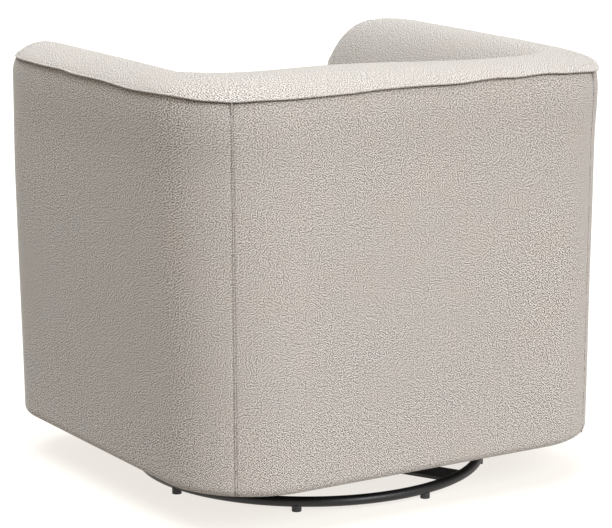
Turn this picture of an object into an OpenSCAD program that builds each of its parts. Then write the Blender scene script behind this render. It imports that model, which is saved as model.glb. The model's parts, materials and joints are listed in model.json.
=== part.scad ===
// Swivel rocker: a padded tub chair on a ball-bearing swivel with a sprung rocker under the seat.
// Millimetres, +Z up, front towards -Y, origin on the floor under the middle of the body.

/* [Body] */
// Width of the body over the outside covers
body_w = 760; // [700:5:860]
// Depth of the body over the outside covers
body_d = 692; // [660:4:760]
// Height of the sewn lip above the floor
seam_h = 650; // [610:5:700]
// Height of the hem above the floor
hem_h = 67; // [60:1:80]
// Plan radius of the two rear corners
rear_r = 150; // [130:2:170]
// Plan radius of the outer front corner of each arm
front_r = 105; // [100:1:108]
// Thickness of the arms and the back
arm_t = 140; // [134:1:160]
// How far each side leans in at the hem
side_lean = 11; // [0:1:14]
// Height of the crown of the top pad above the lip
crown_h = 14; // [8:1:24]
// Angle round the rear corner at which the upright seam runs
seam_angle = 54; // [40:1:70]

/* [Padding] */
// Thickness of an outside cover with its padding
cover_t = 22; // [18:1:22]
// Thickness of a fibreboard panel
board_t = 3.5; // [2:0.5:4]
// How far the hem turns in under the frame
hem_return = 30; // [27:1:32]
// How far the sewn lip stands out
lip_out = 3; // [1:0.5:5]
// Thickness of the sewn lip
lip_t = 2.4; // [1.6:0.2:3]
// Thickness of the pads inside the arms and the back
liner_pad_t = 46; // [40:1:48]
// Plan radius of the inside corners of the back
inner_r = 60; // [40:2:70]

/* [Seat] */
// Height of the crown of the cushion above the floor
seat_h = 435; // [415:5:450]
// Thickness of the cushion at its crown
cushion_t = 144; // [120:2:148]
// Height that the crown of the cushion takes up
cushion_crown = 20; // [10:1:28]
// How far the sides of the cushion draw in between its corners
cushion_draw = 7; // [2:1:10]
// Thickness of the pad over the seat springs
deck_t = 9; // [6:1:12]

/* [Frame] */
// Thickness of the wooden rails
rail_t = 25; // [20:1:26]
// Height of the bottom rails and the seat rails
rail_h = 88; // [70:2:90]
// Thickness of the curved corner formers
former_t = 15; // [9:1:18]
// Thickness of the board under the top pad
top_board_t = 12; // [9:1:15]
// Height of the top of the seat rails above the floor
seat_rail_top = 262; // [256:1:266]

/* [Ring base] */
// Diameter of the ring over the middle of its tube
ring_d = 540; // [500:5:560]
// Diameter of the ring's tube
tube_d = 16; // [14:1:20]
// Wall of the ring's tube
tube_wall = 1.6; // [1.2:0.2:2]
// Height of the ring above the floor
ring_lift = 6.5; // [5:0.5:8]
// Number of glides under the ring
glide_n = 8; // [4:1:12]
// Diameter of a glide
glide_d = 15; // [12:1:15]
// Width of a cross bar
bar_w = 50; // [40:1:60]
// Thickness of a cross bar
bar_t = 5; // [4:0.5:6]
// How far the ring stands turned under the body, in degrees
base_turn = 9; // [0:1:44]
// Angle from a glide to the next cross bar
bar_turn = 18; // [12:1:33]

/* [Swivel] */
// How far the swivel stands behind the middle of the body
swivel_back = 8; // [0:1:12]
// Diameter of a bearing ball
ball_d = 8; // [6:1:9]
// Number of bearing balls
ball_n = 24; // [12:1:30]
// Radius of the circle of balls
race_r = 62; // [54:1:70]
// Diameter of the king bolt
king_d = 16; // [12:1:18]

/* [Rocker] */
// Height of the rocker's pivot above the floor
pivot_h = 85; // [82:1:90]
// Diameter of the pivot shaft
shaft_d = 14; // [12:1:16]
// How far the seat rocks each way, in degrees
rock_limit = 7; // [4:0.5:7.5]
// Thickness of the carrier and bracket plates
plate_t = 4; // [3:0.5:5]
// Half the width of the carrier between its ears
ear_x = 92; // [90:1:96]
// Distance from the pivot to the middle of each spring
spring_y = 92; // [88:1:94]
// Distance from the middle to each spring across the chair
spring_x = 62; // [56:1:64]
// Outside diameter of a spring
spring_d = 40; // [34:1:42]
// Thickness of the spring's wire
spring_wire = 5; // [4:0.5:5.5]
// Number of curls in a spring
spring_curls = 6; // [4:1:7]

/* [Hidden] */
$fn = 64;

// Gaps and overruns
gap = 0.3;          // between soft or touching pieces
slip = 0.05;        // between a pin and its hole
over = 1;           // how far a cut runs past what it cuts

// Plan of the body
half_w = body_w / 2;
half_d = body_d / 2;
rear_c = [half_w - rear_r, half_d - rear_r];
front_c = [half_w - front_r, front_r - half_d];
inner_w = half_w - arm_t;
inner_back = half_d - arm_t;
nose_r = arm_t - front_r;
nose_c = [front_c[0], nose_r - half_d];
wrap_l = 10;        // how far the cover runs back along the inside of an arm
wrap_y = nose_c[1] + wrap_l;
inner_c = [inner_w - inner_r, inner_back - inner_r];

// Layers behind the covers
board_in = cover_t + gap;
frame_in = board_in + board_t + gap;
frame_x = half_w - frame_in;
frame_y = half_d - frame_in;
rail_x = frame_x - rail_t;
rail_y = frame_y - rail_t;
front_y = -rail_y;
post_drop = 26;     // how far the posts of the arms end below the top board
board_back = 28;    // how far the top board stands back from their inner faces
board_turn = 45;    // where a side board ends, from the middle of the front corner
post_in = inner_w + liner_pad_t + board_t + 2 * gap;
post_w = rail_x - post_in;
front_post_d = 70;  // depth of a front post
rear_post_d = 45;   // depth of a rear post
rear_post_in = 21;  // how far a rear post stands in front of the corner's middle
rear_post_y = rear_c[1] - rear_post_in;

// Heights of the frame
hem_t = 3;          // thickness of the hem's turned part
rail_z = hem_h + hem_t + gap;
former_z = rail_z + rail_h;
seat_rail_z = seat_rail_top - rail_h;
top_rail_h = 48;    // height of a top rail
cover_top = seam_h - lip_t / 2 - gap;
pad_z = seam_h + lip_t / 2 + gap;
top_z = pad_z - gap - top_board_t;
post_top = top_z - post_drop;
inside_top = pad_z - gap;

// Ring base
ring_r = ring_d / 2;
tube_r = tube_d / 2;
ring_z = ring_lift + tube_r;
stem_r = 2.5;       // radius of a glide's stem
stem_z = 2;         // height of the foot of a stem
saddle_h = 3;       // how far a glide reaches up round the tube
bar_rise = 2;       // how far the bars' tops stand above the tube's middle
bar_z = ring_z + bar_rise - bar_t;
bar_n = 4;
hub_r = 92;         // radius of the plate in the middle of the cross bars
bar_top = bar_z + bar_t;

// Swivel
ball_r = ball_d / 2;
king_r = king_d / 2;
race_w = 16;        // width of a race's flat each side of its groove
race_out = race_r + race_w;
race_gap = 2;       // gap between the two races
race_floor = 3;     // thickness of a race under its groove
race_t = ball_r + race_floor - race_gap / 2;
upper_z = bar_top + race_t + race_gap;
ball_z = bar_top + race_t + race_gap / 2;
cage_t = race_gap - 2 * gap;
cage_rim = 5;       // width of the cage beside its pockets
cage_w = ball_r + cage_rim;
rivet_r = 3;        // radius of a rivet's shank
rivet_head = 2.5;   // height of a rivet's head
rivet_ring = 36;    // radius of the circle of rivets
carrier_z = upper_z + race_t;
carrier_top = carrier_z + plate_t;
bolt_head_h = 6;    // height of a bolt's head
washer_t = 2;       // thickness of the king washer
washer_rim = 8;     // how far the washer stands out round the king bolt
hex_rim = 5;        // how far a hexagon stands out round the king bolt
bolt_end = 2;       // how far the king bolt stands out of its nut
nut_h = 9;          // height of the king nut

// Rocker
shaft_r = shaft_d / 2;
carrier_half = 128; // half the length of the carrier plate
eye_wall = 11;      // width of an eye round its bore
ear_r = shaft_r + eye_wall;
ear_foot = 45;      // half the width of an ear at its foot
ear_out = ear_x + plate_t;
bracket_ear = ear_out + gap;
eye_gap = 5;        // gap between the carrier's eyes and the bracket plate
bracket_z = pivot_h + ear_r + eye_gap;
bracket_top = bracket_z + plate_t;
bracket_rim = 8;    // how far the bracket plate stands out past its ears
bracket_x = bracket_ear + plate_t + bracket_rim;
bracket_y = 138;    // half the length of the bracket plate
bush_wall = 3;      // wall of a bush
bush_flange = 2;    // thickness of a bush's flange
clip_t = 1.5;       // thickness of a retaining clip
clip_rim = 4;       // how far a clip stands out round the shaft
bush_rim = 3;       // how far a flange stands out round its bush
shaft_end = 3;      // how far the shaft stands out of its clips
shaft_half = bracket_ear + plate_t + bush_flange + clip_t + 3 * gap + shaft_end;
cup_t = 2;          // thickness of a spring cup
boss_h = 6;         // height of a cup's boss
spring_r = (spring_d - spring_wire) / 2;
cup_rim = 2;        // how far a cup stands out round its spring
boss_slack = 2.5;   // gap between a boss and the spring's curls
cup_r = spring_d / 2 + cup_rim;
boss_r = spring_r - spring_wire / 2 - boss_slack;
spring_lo = carrier_top + cup_t + gap;
spring_hi = bracket_z - cup_t - gap;
spring_rings = 8;   // rings in one curl
spring_sides = 6;   // sides of the wire
stop_r = 9;         // radius of a rubber stop
stop_flare = 2;     // how much wider its foot is
stop_x = 24;        // distance from the middle to a stop across the chair
stop_y = 116;       // distance from the pivot to a stop
stop_reach = stop_y + stop_r;
stop_h = pivot_h + (bracket_z - pivot_h) * cos(rock_limit) - stop_reach * sin(rock_limit) - gap - carrier_top;
bolt_r = 4;         // radius of a bracket bolt
bolt_share = 4 / 7; // place of the bracket bolts on the way to the rear posts
bolt_y = rear_post_y * bolt_share;
bolt_in = 4;        // how far the bolts stand inside the bracket's ears
bolt_x = bracket_ear - bolt_in;
bolt_rim = 3;       // how far a bracket bolt's hexagon stands out
bolt_head = 5;      // height of a bracket bolt's head
bracket_nut = 7;    // height of a bracket nut
bolt_tail = 10;     // length of a bracket bolt above its rail
hex_r = bolt_r + bolt_rim;
cross_w = 45;       // width of a cross rail
cross_h = 40;       // height of a cross rail
block_w = 42;       // legs of a corner block, inside the cross rails
former_in = 60;     // how far a corner former reaches in

// Seat
cushion_z = seat_h - cushion_t;
deck_z = cushion_z - deck_t - gap;
wire_r = 1.8;       // radius of the seat spring's wire
seat_spring_n = 5;
seat_bends = 12;    // bends in one seat spring
bend_rings = 5;     // rings in one bend
seat_spring_w = 46; // width of a seat spring
clip_h = 7;         // height of a spring clip
clip_w = 18;        // width of a spring clip
clip_d = 12;        // depth of a spring clip
wire_z = seat_rail_top + clip_h / 2;
seat_front = front_y + rail_t / 2;
seat_rear = rear_post_y + rear_post_d - rail_t / 2;
seat_spring_in = 50; // room beside the outer seat springs
seat_spring_pitch = 2 * (post_in - seat_spring_in) / seat_spring_n;
spring_rise = deck_z - gap - wire_r - wire_z;
stile_w = 30;       // width of a back stile
stile_in = 40;      // how far the back stiles stand inside the corner formers
stile_x = rear_c[0] - rail_t - stile_in - stile_w / 2;
web_t = 2.5;        // thickness of the webbing
web_w = 50;         // width of a strap
web_n = 4;
pad_back = inner_back + liner_pad_t;
stile_y = pad_back + web_t + 2 * gap;
border_in = 4;      // how far the front border stands back
border_y = border_in - half_d;
border_top = cushion_z - gap;
inside_lap = 1;     // how far the inside pads start above the cushion's foot
inside_z = cushion_z + inside_lap;
dust_in = 1;        // gap between the dust cover and the hem
dust_up = 1.2;      // height of the dust cover above the hem
dust_t = 1.5;       // thickness of the dust cover
window_rim = 13;    // room round the rocker in the dust cover

// Shapes used by several pieces
function blend(a, b, t) = a + (b - a) * t;
// Points of an arc in plan, each with its outward normal
function bend(c, r, a0, a1, n) = [for (i = [0:n]) let (a = blend(a0, a1, i / n))
    [c[0] + r * cos(a), c[1] + r * sin(a), cos(a), sin(a)]];
// Points between two places in plan, all with one normal
function run(p, q, normal, n) = [for (i = [1:n - 1])
    [blend(p[0], q[0], i / n), blend(p[1], q[1], i / n), normal[0], normal[1]]];
function flip(path) = [for (i = [len(path) - 1:-1:0]) [-path[i][0], path[i][1], -path[i][2], path[i][3]]];
function lean(z) = side_lean * (seam_h - z) / (seam_h - hem_h);

// Faces of a skin of n sections, each a loop of m points
function skin_faces(n, m) = concat(
    [for (i = [0:n - 2]) for (j = [0:m - 1]) let (k = (j + 1) % m)
        each [[i * m + j, i * m + k, (i + 1) * m + k], [i * m + j, (i + 1) * m + k, (i + 1) * m + j]]],
    [[for (j = [m - 1:-1:0]) j]], [[for (j = [0:m - 1]) (n - 1) * m + j]]);

// A skin along a path, each place with its own loop of [inset, height, lean]
module swept_each(path, loops) {
    points = [for (i = [0:len(path) - 1]) let (p = path[i]) for (s = loops[i]) let (d = s[0] + s[2] * abs(p[2]))
        [p[0] - p[2] * d, p[1] - p[3] * d, s[1]]];
    polyhedron(points, skin_faces(len(path), len(loops[0])), convexity = 6);
}
// A skin whose section is one loop all along
module swept(path, loop) {
    swept_each(path, [for (p = path) loop]);
}

// Plan of the body drawn in by an inset
module plan(inset) {
    w = half_w - inset;
    d = half_d - inset;
    r = rear_r - inset;
    f = front_r - inset;
    translate([-rear_c[0], front_c[1]]) square([2 * rear_c[0], d - front_c[1]]);
    translate([-front_c[0], -d]) square([2 * front_c[0], d + rear_c[1]]);
    translate([-w, front_c[1]]) square([2 * w, rear_c[1] - front_c[1]]);
    for (s = [-1, 1]) {
        translate([s * rear_c[0], rear_c[1]]) circle(r);
        translate([s * front_c[0], front_c[1]]) circle(f);
    }
}

// The tube of the ring as a solid of a given radius
module torus(tube) {
    translate([0, swivel_back, ring_z]) rotate_extrude($fn = 128) translate([ring_r, 0]) circle(tube);
}

// Copies children at the glides' places
module at_glides() {
    translate([0, swivel_back, 0]) for (i = [0:glide_n - 1])
        rotate([0, 0, base_turn + 360 * i / glide_n]) translate([ring_r, 0, 0]) children();
}

// Copies children on the rivets' circle
module at_rivets(turn) {
    translate([0, swivel_back, 0]) for (i = [0:3])
        rotate([0, 0, turn + 90 * i]) translate([rivet_ring, 0, 0]) children();
}

// Copies children at the balls' places
module at_balls() {
    translate([0, swivel_back, ball_z]) for (i = [0:ball_n - 1])
        rotate([0, 0, 360 * i / ball_n]) translate([race_r, 0, 0]) children();
}

// A box from its low and high corners
module block(lo, hi) {
    translate(lo) cube(hi - lo);
}

// The ring's tube, bored for the glide stems
module base_ring() {
    color([0.05, 0.05, 0.05]) difference() {
        torus(tube_r);
        torus(tube_r - tube_wall);
        at_glides() cylinder(h = ring_z, r = stem_r + slip);
    }
}

// Two flat bars crossed under a round plate, all one weldment inside the ring
module base_cross() {
    color([0.06, 0.06, 0.06]) difference() {
        translate([0, swivel_back, bar_z]) {
            cylinder(h = bar_t, r = hub_r);
            intersection() {
                cylinder(h = bar_t, r = ring_r - tube_r - slip, $fn = 128);
                for (i = [0:bar_n / 2 - 1]) rotate([0, 0, base_turn + bar_turn + 180 * i / (bar_n / 2)])
                    translate([-ring_r, -bar_w / 2, 0]) cube([2 * ring_r, bar_w, bar_t]);
            }
        }
        translate([0, swivel_back, bar_z - over]) cylinder(h = bar_t + 2 * over, r = king_r + slip);
        at_rivets(base_turn) translate([0, 0, bar_z - over])
            cylinder(h = bar_t + 2 * over, r = rivet_r + slip);
    }
}

// Round glides, each saddled to the tube above it
module glides() {
    color([0.04, 0.04, 0.04]) difference() {
        at_glides() cylinder(h = ring_lift + saddle_h, r = glide_d / 2, $fn = 40);
        torus(tube_r + slip);
        at_glides() translate([0, 0, stem_z]) cylinder(h = ring_z, r = stem_r + slip);
    }
}

// Steel stems that hold the glides in the tube
module glide_stems() {
    color("silver") at_glides() translate([0, 0, stem_z + slip])
        cylinder(h = ring_z - tube_r + 2 * tube_wall - stem_z, r = stem_r, $fn = 24);
}

// One race: a disc with a ball groove in its upper face
module race() {
    difference() {
        cylinder(h = race_t, r = race_out);
        translate([0, 0, -over]) cylinder(h = race_t + 2 * over, r = king_r + slip);
        translate([0, 0, race_t + race_gap / 2])
            rotate_extrude($fn = 128) translate([race_r, 0]) circle(ball_r + slip);
        for (i = [0:3]) rotate([0, 0, 90 * i]) translate([rivet_ring, 0, -over])
            cylinder(h = race_t + 2 * over, r = rivet_r + slip);
    }
}

// Fixed race on the base
module lower_race() {
    color([0.35, 0.35, 0.36]) translate([0, swivel_back, bar_top]) rotate([0, 0, base_turn]) race();
}

// Bolt that holds the swivel together
module king_bolt() {
    color("silver") translate([0, swivel_back, bar_z - bolt_head_h]) {
        cylinder(h = bolt_head_h, r = king_r + hex_rim, $fn = 6);
        cylinder(h = bolt_head_h + carrier_top + washer_t + nut_h + gap - bar_z + bolt_end, r = king_r);
    }
}

// Washer under the king nut
module king_washer() {
    color("silver") translate([0, swivel_back, carrier_top + gap]) difference() {
        cylinder(h = washer_t, r = king_r + washer_rim);
        translate([0, 0, -over]) cylinder(h = washer_t + 2 * over, r = king_r + slip);
    }
}

// Nut of the king bolt
module king_nut() {
    color("silver") translate([0, swivel_back, carrier_top + gap + washer_t]) difference() {
        cylinder(h = nut_h, r = king_r + hex_rim, $fn = 6);
        translate([0, 0, -over]) cylinder(h = nut_h + 2 * over, r = king_r + slip);
    }
}

// Rivets through the cross and the fixed race
module lower_rivets() {
    color("silver") at_rivets(base_turn) {
        translate([0, 0, bar_z - rivet_head]) cylinder(h = rivet_head, r = 2 * rivet_r, $fn = 32);
        translate([0, 0, bar_z - rivet_head]) cylinder(h = rivet_head + bar_t + race_t, r = rivet_r, $fn = 32);
    }
}

// Ring that spaces the balls
module ball_cage() {
    color([0.75, 0.7, 0.5]) difference() {
        translate([0, swivel_back, ball_z - cage_t / 2]) difference() {
            cylinder(h = cage_t, r = race_r + cage_w);
            translate([0, 0, -over]) cylinder(h = cage_t + 2 * over, r = race_r - cage_w);
        }
        at_balls() translate([0, 0, -over]) cylinder(h = cage_t + 2 * over, r = ball_r + slip, center = true);
    }
}

// Bearing balls
module bearing_balls() {
    color("gainsboro") at_balls() sphere(ball_r - slip, $fn = 24);
}

// Race that turns with the seat
module upper_race() {
    color([0.35, 0.35, 0.36]) translate([0, swivel_back, upper_z + race_t]) mirror([0, 0, 1]) race();
}

// Rivets through the turning race and the carrier plate
module upper_rivets() {
    color("silver") at_rivets(0) {
        translate([0, 0, upper_z]) cylinder(h = race_t + plate_t + rivet_head, r = rivet_r, $fn = 32);
        translate([0, 0, carrier_top]) cylinder(h = rivet_head, r = 2 * rivet_r, $fn = 32);
    }
}

// Outline of an ear: a trapezium that runs into a round eye, foot at the bottom
module ear_shape(foot_w, foot_z) {
    rise = abs(pivot_h - foot_z);
    circle(ear_r);
    polygon([[-foot_w, -rise], [foot_w, -rise], [ear_r, 0], [-ear_r, 0]]);
}

// One upright ear, centred on the pivot, with its bore
module ear(x, foot_w, foot_z, bore, up) {
    translate([x, swivel_back, pivot_h]) rotate([90, 0, 90]) linear_extrude(plate_t) difference() {
        mirror([0, up, 0]) ear_shape(foot_w, foot_z);
        circle(bore);
    }
}

// Turning plate with two ears that carry the pivot shaft
module carrier_plate() {
    color([0.1, 0.1, 0.1]) {
        difference() {
            translate([-ear_out, swivel_back - carrier_half, carrier_z])
                cube([2 * ear_out, 2 * carrier_half, plate_t]);
            translate([0, swivel_back, carrier_z - over]) cylinder(h = plate_t + 2 * over, r = king_r + slip);
            at_rivets(0) translate([0, 0, carrier_z - over])
                cylinder(h = plate_t + 2 * over, r = rivet_r + slip);
        }
        for (x = [-ear_out, ear_x]) ear(x, ear_foot, carrier_top, shaft_r + slip, 0);
    }
}

// Shaft that the seat rocks on
module pivot_shaft() {
    color("silver") translate([-shaft_half, swivel_back, pivot_h]) rotate([0, 90, 0])
        cylinder(h = 2 * shaft_half, r = shaft_r);
}

// Retaining clips at the shaft's ends
module shaft_clips() {
    color([0.2, 0.2, 0.2]) for (s = [-1, 1])
        translate([s * (bracket_ear + plate_t + bush_flange + 2 * gap + clip_t / 2), swivel_back, pivot_h])
            rotate([0, 90, 0]) difference() {
                cylinder(h = clip_t, r = shaft_r + clip_rim, center = true);
                cylinder(h = clip_t + 2 * over, r = shaft_r + slip, center = true);
            }
}

// Copies children at the four springs
module at_springs() {
    for (x = [-spring_x, spring_x]) for (y = [-spring_y, spring_y])
        translate([x, swivel_back + y, 0]) children();
}

// A cup that centres one spring by a boss, its flat side down
module spring_cup() {
    cylinder(h = cup_t, r = cup_r, $fn = 40);
    cylinder(h = cup_t + boss_h, r = boss_r, $fn = 40);
}

// Cups on the carrier plate
module lower_spring_cups() {
    color([0.15, 0.15, 0.15]) at_springs() translate([0, 0, carrier_top]) spring_cup();
}

// Cups under the bracket plate
module upper_spring_cups() {
    color([0.15, 0.15, 0.15]) at_springs() translate([0, 0, bracket_z]) mirror([0, 0, 1]) spring_cup();
}

// Rubber stops that end the rocking
module rubber_stops() {
    color([0.08, 0.08, 0.08]) for (x = [-stop_x, stop_x]) for (y = [-stop_y, stop_y])
        translate([x, swivel_back + y, carrier_top])
            cylinder(h = stop_h, r1 = stop_r + stop_flare, r2 = stop_r, $fn = 32);
}

// Plate bolted under the seat, with two ears that hang down over the shaft
module rocker_bracket() {
    color([0.1, 0.1, 0.1]) {
        difference() {
            translate([-bracket_x, swivel_back - bracket_y, bracket_z])
                cube([2 * bracket_x, 2 * bracket_y, plate_t]);
            at_bolts() translate([0, 0, bracket_z - over]) cylinder(h = plate_t + 2 * over, r = bolt_r + slip);
        }
        for (x = [-bracket_ear - plate_t, bracket_ear])
            ear(x, ear_foot, bracket_z, shaft_r + bush_wall + slip, 1);
    }
}

// Bushes between the bracket's ears and the shaft, each with a flange outside
module pivot_bushes() {
    color("ivory") for (s = [0, 1]) mirror([s, 0, 0])
        translate([bracket_ear, swivel_back, pivot_h]) rotate([0, 90, 0]) difference() {
            union() {
                cylinder(h = plate_t + gap + bush_flange, r = shaft_r + bush_wall);
                translate([0, 0, plate_t + gap]) cylinder(h = bush_flange, r = shaft_r + bush_wall + bush_rim);
            }
            translate([0, 0, -over]) cylinder(h = plate_t + bush_flange + 2 * over + gap, r = shaft_r + slip);
        }
}

// Height along a spring after t curls, with its end curls closed
spring_travel = spring_hi - spring_lo - spring_wire;
spring_pitch = (spring_travel - 2 * (spring_wire + 2 * gap)) / (spring_curls - 2);
function spring_z(t) = t < 1 ? t * (spring_wire + 2 * gap)
    : t > spring_curls - 1 ? spring_travel - (spring_curls - t) * (spring_wire + 2 * gap)
    : spring_wire + 2 * gap + (t - 1) * spring_pitch;
spring_points = [for (i = [0:spring_curls * spring_rings]) let (t = i / spring_rings)
    [spring_r * cos(360 * t), spring_r * sin(360 * t), spring_z(t)]];
spring_last = len(spring_points) - 1;
spring_self_gap = min([for (i = [0:spring_last])
    each [for (j = [i + spring_rings - 1:1:spring_last])
        norm(spring_points[i] - spring_points[j])]]) - spring_wire;
echo(spring_self_gap = spring_self_gap);

// One coil spring, its wire a single unbroken tube
module spring() {
    points = [for (i = [0:len(spring_points) - 1]) let (p = spring_points[i], a = 360 * i / spring_rings)
        for (j = [0:spring_sides - 1]) let (b = 360 * j / spring_sides, w = spring_wire / 2)
            [p[0] + w * cos(b) * cos(a), p[1] + w * cos(b) * sin(a), p[2] + w * sin(b)]];
    polyhedron(points, skin_faces(len(spring_points), spring_sides), convexity = 8);
}

// Springs that bring the seat back to level
module rocker_springs() {
    color([0.3, 0.3, 0.32]) at_springs() translate([0, 0, spring_lo + spring_wire / 2]) spring();
}

// Copies children at the four bracket bolts
module at_bolts() {
    for (x = [-bolt_x, bolt_x]) for (y = [-bolt_y, bolt_y]) translate([x, swivel_back + y, 0]) children();
}

// Bolts from the bracket up through the cross rails
module bracket_bolts() {
    color("silver") at_bolts() translate([0, 0, bracket_z - bolt_head]) {
        cylinder(h = bolt_head, r = hex_r, $fn = 6);
        cylinder(h = bolt_head + plate_t + cross_h + bolt_tail, r = bolt_r, $fn = 32);
    }
}

// Nuts on top of the cross rails
module bracket_nuts() {
    color("silver") at_bolts() translate([0, 0, bracket_top + gap + cross_h]) difference() {
        cylinder(h = bracket_nut, r = hex_r, $fn = 6);
        translate([0, 0, -over]) cylinder(h = bracket_nut + 2 * over, r = bolt_r + slip, $fn = 32);
    }
}

// Rails across the chair that stand on the bracket
module cross_rails() {
    color("burlywood") difference() {
        for (y = [-bolt_y, bolt_y])
            block([-rail_x, swivel_back + y - cross_w / 2, bracket_top + gap / 2],
                  [rail_x, swivel_back + y + cross_w / 2, bracket_top + gap / 2 + cross_h]);
        at_bolts() translate([0, 0, bracket_top - over]) cylinder(h = cross_h + 3 * over, r = bolt_r + slip);
    }
}

// Triangular blocks that stiffen the cross rails' ends
module corner_blocks() {
    y = bolt_y - cross_w / 2;
    color("tan") translate([0, swivel_back, bracket_top + gap / 2]) for (s = [0, 1]) for (t = [0, 1])
        mirror([s, 0, 0]) mirror([0, t, 0])
            linear_extrude(cross_h) polygon([[rail_x, y], [rail_x - block_w, y], [rail_x, y - block_w]]);
}

// Bottom rails
module bottom_rail_front() {
    color("burlywood") block([-post_in, front_y, rail_z], [post_in, front_y + rail_t, former_z]);
}
module bottom_rail_rear() {
    color("burlywood") block([-rear_c[0], rail_y, rail_z], [rear_c[0], frame_y, former_z]);
}
module bottom_side_rails() {
    color("burlywood") for (s = [0, 1]) mirror([s, 0, 0])
        block([rail_x, front_c[1], rail_z], [frame_x, rear_c[1], former_z]);
}

// Seat rails
module seat_rail_front() {
    color("burlywood") block([-post_in, front_y, seat_rail_z], [post_in, front_y + rail_t, seat_rail_top]);
}
module seat_rail_rear() {
    y = rear_post_y + rear_post_d;
    color("burlywood") block([-post_in, y - rail_t, seat_rail_z], [post_in, y, seat_rail_top]);
}
module seat_side_rails() {
    color("burlywood") for (s = [0, 1]) mirror([s, 0, 0])
        block([rail_x, front_c[1], seat_rail_z + former_t], [frame_x, rear_c[1], seat_rail_top]);
}

// Posts of the arms
module front_posts() {
    color("burlywood") for (s = [0, 1]) mirror([s, 0, 0])
        block([post_in, front_y, rail_z], [rail_x, front_y + front_post_d, post_top]);
}
module rear_posts() {
    color("burlywood") for (s = [0, 1]) mirror([s, 0, 0])
        block([post_in, rear_post_y, rail_z], [rail_x, rear_post_y + rear_post_d, post_top]);
}

// Uprights behind the back's webbing
module back_stiles() {
    color("burlywood") for (s = [0, 1]) mirror([s, 0, 0])
        block([stile_x - stile_w / 2, stile_y, rail_z], [stile_x + stile_w / 2, rail_y, top_z]);
}

// Curved formers that carry the boards round the rear corners
module corner_formers() {
    color("wheat") for (s = [0, 1]) mirror([s, 0, 0]) for (z = [former_z, seat_rail_top])
        translate([0, 0, z]) linear_extrude(former_t) difference() {
            intersection() {
                difference() {
                    plan(frame_in);
                    plan(frame_in + former_in);
                }
                translate([rear_c[0] - rail_t, rear_post_y]) square([rear_r + rail_t, rear_r + rail_t]);
            }
            translate([post_in - gap, rear_post_y - over])
                square([post_w + 2 * gap, rear_post_d + over + gap]);
        }
}

// Top rails
module top_rail_back() {
    color("burlywood") block([-rear_c[0], rail_y, top_z - top_rail_h], [rear_c[0], frame_y, top_z]);
}
module top_side_rails() {
    color("burlywood") for (s = [0, 1]) mirror([s, 0, 0])
        block([rail_x, front_c[1], top_z - top_rail_h], [frame_x, rear_c[1], top_z]);
}

// Board that carries the top pad round the arms and the back
module top_board() {
    color("wheat") translate([0, 0, top_z]) linear_extrude(top_board_t) difference() {
        plan(board_in);
        translate([-post_in - board_back, -half_d])
            square([2 * (post_in + board_back), half_d + pad_back + gap]);
    }
}

// Fibreboard round the back and its corners
module board_ring() {
    difference() {
        plan(board_in);
        plan(board_in + board_t);
    }
}
module back_board() {
    color("sienna") translate([0, 0, rail_z]) linear_extrude(top_z - rail_z) intersection() {
        board_ring();
        translate([-half_w, rear_c[1]]) square([body_w, rear_r]);
    }
}
module side_board() {
    color("sienna") translate([0, 0, rail_z]) linear_extrude(top_z - rail_z) intersection() {
        board_ring();
        translate([front_c[0] + board_turn, -half_d])
            square([front_r - board_turn, half_d + rear_c[1] - gap]);
    }
}
module side_board_left() {
    side_board();
}
module side_board_right() {
    mirror([1, 0, 0]) side_board();
}
module front_board() {
    y = front_y - gap - board_t;
    color("sienna") block([-post_in, y, rail_z], [post_in, y + board_t, seat_rail_top]);
}
module arm_liners() {
    color("sienna") for (s = [0, 1]) mirror([s, 0, 0])
        block([post_in - gap - board_t, front_y, inside_z],
              [post_in - gap, rear_post_y + rear_post_d, post_top]);
}

// Straps across the back
module back_webbing() {
    step = (top_z - inside_z) / web_n;
    color("dimgray") for (i = [0:web_n - 1]) translate([0, 0, inside_z + step * (2 * i + 1) / 2])
        block([-stile_x - stile_w / 2, pad_back + gap, -web_w / 2],
              [stile_x + stile_w / 2, pad_back + gap + web_t, web_w / 2]);
}

// A wire bent from side to side, arched along its length, with straight ends in the clips
seat_spring_run = seat_rear - seat_front;
bend_share = 0.8;
sway_share = -0.12;
function seat_wire(i) = let (n = seat_bends * bend_rings, t = i / n, a = 180 * t * seat_bends)
    [(seat_spring_w / 2) * (sin(a) > 0 ? pow(sin(a), bend_share) : -pow(-sin(a), bend_share)),
     seat_front + seat_spring_run * t + sway_share * seat_spring_run / seat_bends * sin(2 * a),
     wire_z + spring_rise * sin(180 * t)];

// One seat spring, its wire a single tube
module seat_spring() {
    n = seat_bends * bend_rings;
    line = [for (i = [0:n]) seat_wire(i)];
    points = [for (i = [0:n]) let (p = line[i], q = line[min(i + 1, n)] - line[max(i - 1, 0)], u = q / norm(q),
        side = cross([0, 0, 1], u) / norm(cross([0, 0, 1], u)), up = cross(u, side))
        for (j = [0:spring_sides - 1]) let (b = -360 * j / spring_sides)
            p + wire_r * (cos(b) * side + sin(b) * up)];
    polyhedron(points, skin_faces(n + 1, spring_sides), convexity = 8);
}

// Copies children at each seat spring
module at_seat_springs() {
    for (i = [0:seat_spring_n - 1])
        translate([(i - (seat_spring_n - 1) / 2) * seat_spring_pitch, 0, 0]) children();
}
module seat_springs() {
    color([0.25, 0.25, 0.27]) at_seat_springs() seat_spring();
}

// A clip that holds the end of a seat spring, open towards +Y
module spring_clip() {
    slot = wire_r + gap;
    difference() {
        translate([-clip_w / 2, -clip_d / 2, seat_rail_top]) cube([clip_w, clip_d, clip_h]);
        translate([-clip_w / 2 - over, -slot, wire_z - slot])
            cube([clip_w + 2 * over, clip_d + slot, 2 * slot]);
    }
}
module spring_clips() {
    color("silver") at_seat_springs() {
        translate([0, seat_front, 0]) spring_clip();
        translate([0, seat_rear, 0]) rotate([0, 0, 180]) spring_clip();
    }
}

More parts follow.
